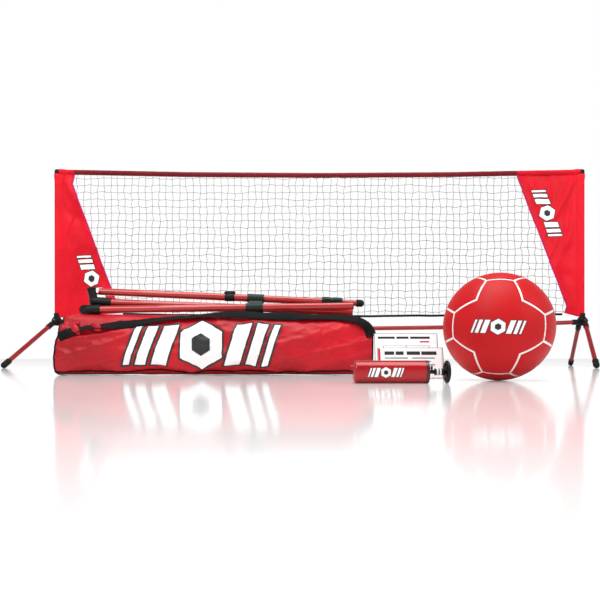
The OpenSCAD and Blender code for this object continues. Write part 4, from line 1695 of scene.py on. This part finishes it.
    def tongues(self) -> None:
        """Makes the small folds of loose cloth that hang over the strap."""
        parts = MeshParts()
        for fold in LOOSE_FOLDS:
            (u0, r0), (u1, r1) = fold.start, fold.end
            path = []
            for t in np.linspace(0.0, 1.0, len(LOOSE_FOLD_PROFILE)):
                p = self.front(u0 + (u1 - u0) * t, r0 + (r1 - r0) * t, 0.0005)
                ahead = 0.0078 * math.sin(math.pi * t**1.6) ** 0.7 if 0 < t < 1 else 0
                path.append(p - Vector((0, ahead, 0)))
            sides = 24
            verts, faces = tube(np.array(path), fold.size * np.array(LOOSE_FOLD_PROFILE), sides)
            centre = np.repeat(np.array(path), sides, axis=0)
            verts = centre + (verts - centre) * np.array([1.0, 0.42, 1.0])
            parts.add(verts, faces)
        place(parts.make("bag_loose_folds", self.finishes.bag), "bag", "bag_nylon")

    def zip(self) -> None:
        """Makes the zip's tape and teeth on the top and dresses its slider."""
        lo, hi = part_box("zip_tape")
        y = (lo.y + hi.y) / 2
        span = hi.x - lo.x
        n = 160
        verts = []
        for k in range(n + 1):
            x = lo.x + span * k / n
            for d, h in ZIP_SECTION:
                wave = 0.0004 * swell((x, d, 0), 40)
                verts.append((x, y + d * self.zip_half_width, hi.z - 0.0012 + h + wave))
        faces = grid_faces(n + 1, len(ZIP_SECTION))
        tape = mesh_object("zip_cloth", np.array(verts), faces, self.finishes.webbing)
        place(tape, "bag", "black_webbing", "zip_tape")
        teeth = MeshParts()
        corners = np.array([[i, j, m] for i in (-1, 1) for j in (-1, 1) for m in (-1, 1)])
        size = np.array([0.0011, 0.0022, 0.0009])
        count = int(span / self.tooth_pitch)
        for k in range(count):
            x = lo.x + span * (k + 0.5) / count
            side = 1 if k % 2 else -1
            c = np.array([x, y + side * 0.0008, hi.z + 0.0006])
            teeth.add(corners * size + c, BOX_FACES)
        place(teeth.make("zip_teeth", self.finishes.nylon, False), "bag", "black_webbing")
        self.finishes.dress(self.finishes.zip_metal, "zip_slider")

    def graphic(self) -> None:
        """Prints the motif on the front."""
        start, low = self.motif_at

        def on_front(u: float, v: float, off: float) -> Vector:
            """Point above the front at a distance along and up the motif."""
            return self.front(start + u, low + v, off)

        Mark(self.motif_height).lay("bag_motif", on_front, self.finishes, "bag", "bag_nylon")


# ---------------------------------------------------------------- folded frame


# Outline of the strap keeper's shell and of the loop on top of it: place along the tube, and radius.
KEEPER_SHELL = ((-0.013, 0.0100), (-0.012, 0.0108), (0.012, 0.0108), (0.013, 0.0100))
KEEPER_LOOP = (
    (-0.0150, 0.0015), (-0.0140, 0.0040), (-0.0100, 0.0062),
    (0.0100, 0.0062), (0.0140, 0.0040), (0.0150, 0.0015),
)


@dataclass
class FoldedFrame:
    """Folded frame that lies on the bag."""

    finishes: Finishes

    def build(self) -> None:
        """Dresses the folded frame's nodes."""
        f = self.finishes
        f.dress(f.nylon, "stowed_elbow", "stowed_hub")
        # The folded tubes take the lighter copy of the tube paint, which paints their fuller light.
        f.dress(f.lit_folded_tube, "stowed_upright", "stowed_bar", "stowed_leg", "telescopic_tube")
        f.dress(f.collar, "twist_collar")
        f.dress(f.rubber, "tube_end_cap", "tube_plugs")
        f.dress(f.clip, "tube_clip")
        self.keeper()

    def keeper(self) -> None:
        """Adds the small strap keeper that rides on the upper tube."""
        lo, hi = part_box("stowed_upright")
        x = lo.x + 0.56 * (hi.x - lo.x)
        y = (lo.y + hi.y) / 2
        z = (lo.z + hi.z) / 2 - 0.06 * (hi.z - lo.z) * 0.5
        parts = MeshParts()
        for profile, above, sides in ((KEEPER_SHELL, 0.0, 32), (KEEPER_LOOP, 0.0112, 20)):
            path = np.array([[x + d, y, z + above] for d, _ in profile])
            parts.add(*tube(path, np.array([radius for _, radius in profile]), sides))
        place(parts.make("tube_keeper", self.finishes.nylon), "folded_frame", "black_nylon")


# ---------------------------------------------------------------- ball


@dataclass
class PanelBall:
    """Ball of fourteen bonded panels, six crosses and eight corner pieces, with white channels between.

    The joints and bends are directions in one corner of the pattern's cube, which the others mirror.
    """

    finishes: Finishes
    channel: float = 0.0042
    depth: float = 0.0010
    roll: float = 2.6
    facing: tuple[float, float, float] = (-0.313, -0.949, -0.046)
    side_joint: tuple[float, float, float] = (0.70, 0.70, 0.13)
    level_joint: Point2 = (0.765, 0.23)
    upper_joint: Point2 = (0.825, 0.235)
    bends: tuple[tuple[float, float, float], ...] = (
        (0.935, 0.325, 0.14), (0.425, 0.892, 0.15), (0.385, 0.465, 0.797),
    )
    edge_step: float = 0.004
    edge_roll: tuple[Point2, ...] = (
        (0.0, -0.0024), (0.0, -0.0010), (0.0005, -0.0004), (0.0014, -0.0001), (0.003, 0.0),
    )
    crown_rings: int = 16
    motif_height: float = 0.025

    def __post_init__(self) -> None:
        """Takes the ball's size from its cover."""
        lo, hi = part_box("ball_cover")
        self.centre = (lo + hi) / 2
        self.radius = (hi.z - lo.z) / 2

    def oriented(self, p: Sequence[float]) -> np.ndarray:
        """Turns a direction of the panel pattern, whose third axis faces forward, into the set's axes."""
        x, y, z = p
        t = math.radians(-self.roll)
        x, y = x * math.cos(t) - y * math.sin(t), x * math.sin(t) + y * math.cos(t)
        ahead = Vector(self.facing).normalized()
        right = Vector((0, 0, 1)).cross(ahead).normalized()
        v = right * x + ahead.cross(right) * y + ahead * z
        return np.array(v.normalized())

    def joint(self, corner: Sequence[int], a: int, b: int) -> np.ndarray:
        """Meeting point of two crosses and a corner piece, near a corner of the pattern's cube."""
        c = 3 - a - b
        v = np.zeros(3)
        if c == 2:
            v[a], v[b], v[c] = self.side_joint
        else:
            other = a if b == 2 else b
            lobe, aside = self.level_joint if other == 0 else self.upper_joint
            v[other], v[c], v[2] = lobe, aside, math.sqrt(1 - lobe**2 - aside**2)
        return v * np.array(corner)

    def bend(self, corner: Sequence[int], a: int) -> np.ndarray:
        """Inner corner of the cross on axis a, near a corner of the pattern's cube."""
        v = np.array(self.bends[a])
        v /= np.linalg.norm(v)
        return v * np.array(corner)

    def outlines(self) -> list[tuple[np.ndarray, list[np.ndarray]]]:
        """Returns the middle and the corners of every panel, as directions."""
        out = []
        for a in range(3):
            others = [k for k in range(3) if k != a]
            for s in (-1, 1):
                middle = np.zeros(3)
                middle[a] = s
                points = []
                for sb, sc in ((1, 1), (-1, 1), (-1, -1), (1, -1)):
                    corner = [0, 0, 0]
                    corner[a], corner[others[0]], corner[others[1]] = s, sb, sc
                    first, second = (others[0], others[1]) if sb * sc > 0 else (others[1], others[0])
                    points.append(self.joint(corner, a, first))
                    points.append(self.bend(corner, a))
                    points.append(self.joint(corner, a, second))
                out.append((middle, points))
        for x in (-1, 1):
            for y in (-1, 1):
                for z in (-1, 1):
                    corner = [x, y, z]
                    points = []
                    for a in range(3):
                        points += [self.bend(corner, a), self.joint(corner, a, (a + 1) % 3)]
                    out.append((np.array(corner) / math.sqrt(3), points))
        return [(self.oriented(m), [self.oriented(p) for p in ps]) for m, ps in out]

    def build(self) -> None:
        """Makes the panels, the channels between them, the valve and the mark."""
        f = self.finishes
        for number, (middle, corners) in enumerate(self.outlines()):
            kind = "cross" if number < 6 else "corner"
            panel = self.panel(f"ball_{kind}_panel_{number + 1}", middle, corners)
            replaced = ("ball_cover",) if number == 0 else ()
            place(panel, "ball", "ball_leather", *replaced)
        bm = bmesh.new()
        bmesh.ops.create_icosphere(bm, subdivisions=5, radius=self.radius - self.depth)
        verts = np.array([v.co for v in bm.verts]) + np.array(self.centre)
        bm.verts.index_update()
        faces = [[v.index for v in fc.verts] for fc in bm.faces]
        bm.free()
        place(mesh_object("ball_seam_channels", verts, faces, f.seam), "ball", "ball_leather")
        f.dress(f.bladder, "ball_bladder", "ball_valve")
        self.mark()

    def border(self, middle: np.ndarray, corners: list[np.ndarray]) -> np.ndarray:
        """Draws the edge of one panel, half a channel inside the line between its corners.

        Args:
            middle: Direction of the panel's middle.
            corners: Directions of its corners, in order.

        Returns:
            Directions of the edge's points.
        """
        count = len(corners)
        half = self.channel / 2 / self.radius
        normals = []
        for i in range(count):
            n = np.cross(corners[i], corners[(i + 1) % count])
            n /= np.linalg.norm(n)
            normals.append(n if n.dot(middle) > 0 else -n)
        moved = []
        for i in range(count):
            m = normals[i - 1] + normals[i]
            m /= np.linalg.norm(m)
            moved.append(corners[i] + m * half / max(0.4, m.dot(normals[i])))
        border = []
        for i in range(count):
            a, b = moved[i], moved[(i + 1) % count]
            n = max(3, int(np.linalg.norm(b - a) * self.radius / self.edge_step))
            for k in range(n):
                p = a + (b - a) * k / n
                border.append(p / np.linalg.norm(p))
        return np.array(border)

    def panel(self, name: str, middle: np.ndarray, corners: list[np.ndarray]) -> bpy.types.Object:
        """Makes one bulged panel with rounded edges.

        Args:
            name: Name of the piece.
            middle: Direction of the panel's middle.
            corners: Directions of its corners, in order.

        Returns:
            The panel.
        """
        border = self.border(middle, corners)
        reach = np.linalg.norm(border - middle, axis=1) * self.radius

        def ring(share: np.ndarray, drop: float) -> np.ndarray:
            """Border drawn in to a share of its reach, at a depth below the ball's face."""
            p = middle + (border - middle) * share[:, None]
            p /= np.linalg.norm(p, axis=1)[:, None]
            return p * (self.radius + drop)

        rings = [ring(1 - inset / reach, drop) for inset, drop in self.edge_roll]
        inner = 1 - self.edge_roll[-1][0] / reach
        rings += [ring(inner * (1 - j / self.crown_rings), 0.0) for j in range(1, self.crown_rings)]
        n = len(border)
        faces = grid_faces(len(rings), n, False, True)
        verts = np.vstack([*rings, (middle * self.radius)[None, :]])
        start, tip = (len(rings) - 1) * n, len(rings) * n
        faces += [[start + c, start + (c + 1) % n, tip] for c in range(n)]
        return mesh_object(name, verts + np.array(self.centre), faces, self.finishes.ball)

    def mark(self) -> None:
        """Prints the motif on the panel that faces forward."""
        mark = Mark(self.motif_height, step=0.006, lift=0.0003)
        half = mark.width() / 2

        def on_ball(u: float, v: float, off: float) -> Vector:
            """Point above the panel at a distance along and up the motif."""
            x, y = (u - half) / self.radius, (v - self.motif_height / 2) / self.radius
            direction = self.oriented((x, y, math.sqrt(1 - x * x - y * y)))
            return self.centre + Vector(direction) * (self.radius + off)

        mark.lay("ball_motif", on_ball, self.finishes, "ball", "ball_leather")


# ---------------------------------------------------------------- pump


@dataclass
class HandPump:
    """Hand pump that lies in front of the leaflets."""

    finishes: Finishes
    motif_height: float = 0.0165
    motif_start: float = 0.030
    motif_middle: float = 0.009
    inlay_starts: Point2 = (0.003, 0.0085)
    inlay_radius: float = 0.0063
    inlay_rise: float = 0.0004

    def __post_init__(self) -> None:
        """Finds the pump's axis."""
        lo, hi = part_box("pump_barrel")
        self.axis = Vector((0, (lo.y + hi.y) / 2, (lo.z + hi.z) / 2))
        self.barrel = (lo.x, hi.x)
        self.radius = (hi.z - lo.z) / 2

    def build(self) -> None:
        """Dresses the pump and adds its inlay and its motif."""
        f = self.finishes
        f.dress(f.pump_red, "pump_barrel")
        f.dress(f.pump_trim, "pump_cap")
        f.dress(f.pump_black, "pump_rod", "pump_piston", "pump_handle")
        self.inlay()
        self.graphic()

    def graphic(self) -> None:
        """Prints the motif on the barrel's front."""
        mark = Mark(self.motif_height, step=0.003, lift=0.00025)
        start = self.barrel[0] + self.motif_start

        def on_barrel(u: float, v: float, off: float) -> Vector:
            """Point above the barrel at a distance along and round it."""
            turn = (v - self.motif_middle) / self.radius
            r = self.radius + off
            return Vector((start + u, self.axis.y - r * math.cos(turn), self.axis.z + r * math.sin(turn)))

        mark.lay("pump_motif", on_barrel, self.finishes, "pump", "pump_gloss")

    def inlay(self) -> None:
        """Adds the two pale rings let into the handle's grip."""
        lo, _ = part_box("pump_handle")
        parts = MeshParts()
        for start in self.inlay_starts:
            xs = lo.x + start + np.array([0.0, 0.0004, 0.0032, 0.0036])
            path = np.array([[x, self.axis.y, self.axis.z] for x in xs])
            rise = self.inlay_rise * np.array([0.0, 1.0, 1.0, 0.0])
            parts.add(*tube(path, self.inlay_radius + rise, 40))
        place(parts.make("pump_grip_inlay", self.finishes.inlay), "pump_plunger", "pump_black")


# ---------------------------------------------------------------- leaflets


# A printed bar: left edge and lower edge, width and height. Heights are shares of the panel's height.
Bar = tuple[float, float, float, float]
HEADING_OF_FRONT: tuple[Bar, ...] = (
    (0.016, 0.76, 0.022, 0.115), (0.041, 0.76, 0.018, 0.115), (0.066, 0.76, 0.030, 0.115),
    (0.099, 0.76, 0.034, 0.115),
)
HEADING_OF_REAR: tuple[Bar, ...] = (
    (0.008, 0.875, 0.040, 0.050), (0.052, 0.875, 0.028, 0.050), (0.084, 0.875, 0.046, 0.050),
)
COURT_PLAN: tuple[Bar, ...] = (
    (0.02, 0.45, 0.108, 0.008), (0.02, 0.71, 0.108, 0.008), (0.02, 0.45, 0.0012, 0.26),
    (0.1268, 0.45, 0.0012, 0.26), (0.0735, 0.45, 0.0012, 0.26),
)


@dataclass
class Leaflet:
    """Folded leaflet of two panels that stands like a tent, with greeked print."""

    name: str
    front_body: str
    back_body: str
    finishes: Finishes
    red_edge: bool = False
    sheet_gap: float = 0.0004
    sheet_step: float = 0.0012
    paper_thickness: float = 0.0003
    bow: float = 0.0024
    print_lift: float = 0.00035

    def __post_init__(self) -> None:
        """Takes the panels' corners from their nodes."""
        self.boxes = {end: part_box(f"{self.name}_{end}") for end in ("front", "back")}
        lo, hi = self.boxes["front"]
        self.width = hi.x - lo.x

    def sheet_point(self, end: str, u: float, v: float, off: float = 0.0) -> Vector:
        """Point on a panel.

        Args:
            end: "front" or "back".
            u: Distance from the panel's left edge.
            v: Share of the panel's height, from the floor up.
            off: Distance out of the paper.

        Returns:
            The point.
        """
        lo, hi = self.boxes[end]
        sign = -1 if end == "front" else 1
        fold = hi.y if end == "front" else lo.y
        foot = lo.y if end == "front" else hi.y
        bow = math.sin(math.pi * v) * (self.bow + 0.0012 * swell((u * 5, v, 1.3 + sign), 1.6))
        y = foot + (fold - foot) * v + sign * (bow + off + 0.0012 * v - 0.0002)
        return Vector((lo.x + u, y, lo.z + (hi.z - lo.z) * v))

    def build(self) -> None:
        """Makes both panels and the print on the front one."""
        f = self.finishes
        for end, body in (("front", self.front_body), ("back", self.back_body)):
            parts = MeshParts()
            n = 24
            for leaf in range(3):
                short = self.sheet_step * leaf
                verts = []
                for j in range(n + 1):
                    for i in range(n + 1):
                        u = short + (self.width - 2 * short) * i / n
                        verts.append(self.sheet_point(end, u, j / n, -self.sheet_gap * leaf))
                parts.add(np.array(verts), grid_faces(n + 1, n + 1))
            paper = parts.make(f"{self.name}_{end}_sheets", f.paper)
            thick = paper.modifiers.new("thickness", "SOLIDIFY")
            thick.thickness, thick.offset = self.paper_thickness, 0.0
            place(paper, body, "leaflet_paper", f"{self.name}_{end}")
        self.print_front()

    def print_front(self) -> None:
        """Prints a border, bars in place of lines of words, and a small court plan."""
        grey, red, black = MeshParts(), MeshParts(), MeshParts()

        def on_paper(u: float, v: float) -> Vector:
            """Point on the front panel's print."""
            return self.sheet_point("front", u, v, self.print_lift)

        def lay(to: MeshParts, *bars: Bar) -> None:
            """Lays printed bars."""
            for u, v, wide, tall in bars:
                box = [(u, v), (u + wide, v), (u + wide, v + tall), (u, v + tall)]
                to.add(*draped_patch(box, on_paper, 0.012))

        w = self.width
        lay(grey, (0.0, 0.985, w, 0.012), (0.0, 0.0, w, 0.012))
        lay(grey, (w - 0.0014, 0.012, 0.0013, 0.973), (0.0001, 0.012, 0.0013, 0.973))
        if self.red_edge:
            lay(red, (0.0018, 0.02, 0.0050, 0.95))
            lay(black, *HEADING_OF_FRONT)
            for k in range(5):
                low = 0.64 - 0.11 * k
                lay(grey, (0.016, low, 0.052 - 0.006 * (k % 3), 0.035))
                lay(grey, (0.078, low, 0.050 - 0.009 * (k % 2), 0.035))
        else:
            lay(black, *HEADING_OF_REAR)
            lay(red, (w - 0.042, 0.79, 0.022, 0.034))
            lay(grey, *COURT_PLAN)
        place(black.make(f"{self.name}_heading", self.finishes.black_print), self.front_body, "leaflet_paper")
        place(grey.make(f"{self.name}_print", self.finishes.grey_ink), self.front_body, "leaflet_paper")
        place(red.make(f"{self.name}_red_print", self.finishes.red_ink), self.front_body, "leaflet_paper")


# ---------------------------------------------------------------- studio


@dataclass(frozen=True)
class SoftLight:
    """Square soft light that faces a point, with its side in metres and its power in watts."""

    name: str
    at: tuple[float, float, float]
    target: tuple[float, float, float]
    side: float
    power: float

    def hang(self) -> None:
        """Adds the light to the scene."""
        data = bpy.data.lights.new(self.name, "AREA")
        data.shape, data.size, data.energy = "SQUARE", self.side, self.power
        light = bpy.data.objects.new(self.name, data)
        light.location = self.at
        towards = Vector(self.target) - Vector(self.at)
        light.rotation_euler = towards.to_track_quat("-Z", "Y").to_euler()
        bpy.context.scene.collection.objects.link(light)


SOFT_LIGHTS = (
    SoftLight("key_softbox", (-1.6, -2.6, 2.6), (0, -0.2, 0.2), 1.6, 48),
    SoftLight("fill_softbox", (2.2, -2.2, 1.6), (0.2, -0.4, 0.2), 1.4, 20),
    SoftLight("top_softbox", (0, -0.9, 3.2), (0, -0.1, 0), 2.4, 92),
)


@dataclass
class Studio:
    """Pale floor, soft lights and the camera."""

    focal: float = 36.0
    sensor: float = 36.0
    eye: float = 0.050
    pump_distance: float = 1.10
    aside: float = -0.090
    lens_rise: float = 7 / 75
    near: float = 0.01
    far: float = 60
    floor_size: float = 14.0
    floor_cells: int = 24
    horizon: Point2 = (0.06, 0.55)
    ambient: float = 0.30

    def floor(self) -> None:
        """Lays the pale floor."""
        size, n = self.floor_size, self.floor_cells
        verts = []
        for j in range(n + 1):
            verts += [((i / n - 0.5) * size, (j / n - 0.35) * size, 0.0) for i in range(n + 1)]
        material = StudioFloor("studio_floor").build()
        mesh_object("studio_floor", np.array(verts), grid_faces(n + 1, n + 1), material)

    def camera(self) -> None:
        """Stands the camera low in front of the pump, looking along +Y."""
        data = bpy.data.cameras.new("camera")
        data.lens, data.sensor_width = self.focal, self.sensor
        data.shift_y = self.lens_rise
        data.clip_start, data.clip_end = self.near, self.far
        camera = bpy.data.objects.new("camera", data)
        lo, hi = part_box("pump_barrel")
        camera.location = (self.aside, (lo.y + hi.y) / 2 - self.pump_distance, self.eye)
        camera.rotation_euler = (math.radians(90), 0, 0)
        bpy.context.scene.collection.objects.link(camera)
        bpy.context.scene.camera = camera

    def world(self) -> None:
        """Surrounds the set with a white backdrop that is brightest at the horizon."""
        world = bpy.data.worlds.new("studio_world")
        world.use_nodes = True
        tree = world.node_tree
        background = tree.nodes["Background"]
        background.inputs["Color"].default_value = (1, 1, 1, 1)
        where = tree.nodes.new("ShaderNodeTexCoord")
        split = tree.nodes.new("ShaderNodeSeparateXYZ")
        band = tree.nodes.new("ShaderNodeMapRange")
        low, high = self.horizon
        edges = {"From Min": low, "From Max": high, "To Min": 1.0, "To Max": self.ambient}
        for key, value in edges.items():
            band.inputs[key].default_value = value
        path = tree.nodes.new("ShaderNodeLightPath")
        pick = tree.nodes.new("ShaderNodeMath")
        pick.operation = "MAXIMUM"
        tree.links.new(where.outputs["Generated"], split.inputs[0])
        tree.links.new(split.outputs[2], band.inputs["Value"])
        tree.links.new(path.outputs["Is Camera Ray"], pick.inputs[0])
        tree.links.new(band.outputs[0], pick.inputs[1])
        tree.links.new(pick.outputs[0], background.inputs["Strength"])
        bpy.context.scene.world = world

    def build(self) -> None:
        """Sets up the whole studio."""
        self.floor()
        self.camera()
        self.world()
        for light in SOFT_LIGHTS:
            light.hang()
        bpy.context.scene.view_settings.view_transform = "Standard"


def main() -> None:
    """Builds every sub-assembly around the frame and then the studio."""
    logging.basicConfig(level=logging.INFO, format="%(name)s: %(message)s")
    finishes = Finishes()
    standing = NetFrame(finishes)
    standing.build()
    banners = [Banner(side, standing, finishes) for side in Side]
    for banner in banners:
        banner.build()
    Netting(standing, banners[0], banners[1], finishes).build()
    CarryBag(finishes).build()
    FoldedFrame(finishes).build()
    PanelBall(finishes).build()
    HandPump(finishes).build()
    Leaflet("rear_leaflet", "rear_leaflet", "rear_leaflet_flap", finishes).build()
    Leaflet("front_leaflet", "front_leaflet_flap", "front_leaflet", finishes, red_edge=True).build()
    Studio().build()


if __name__ == "__main__":
    main()
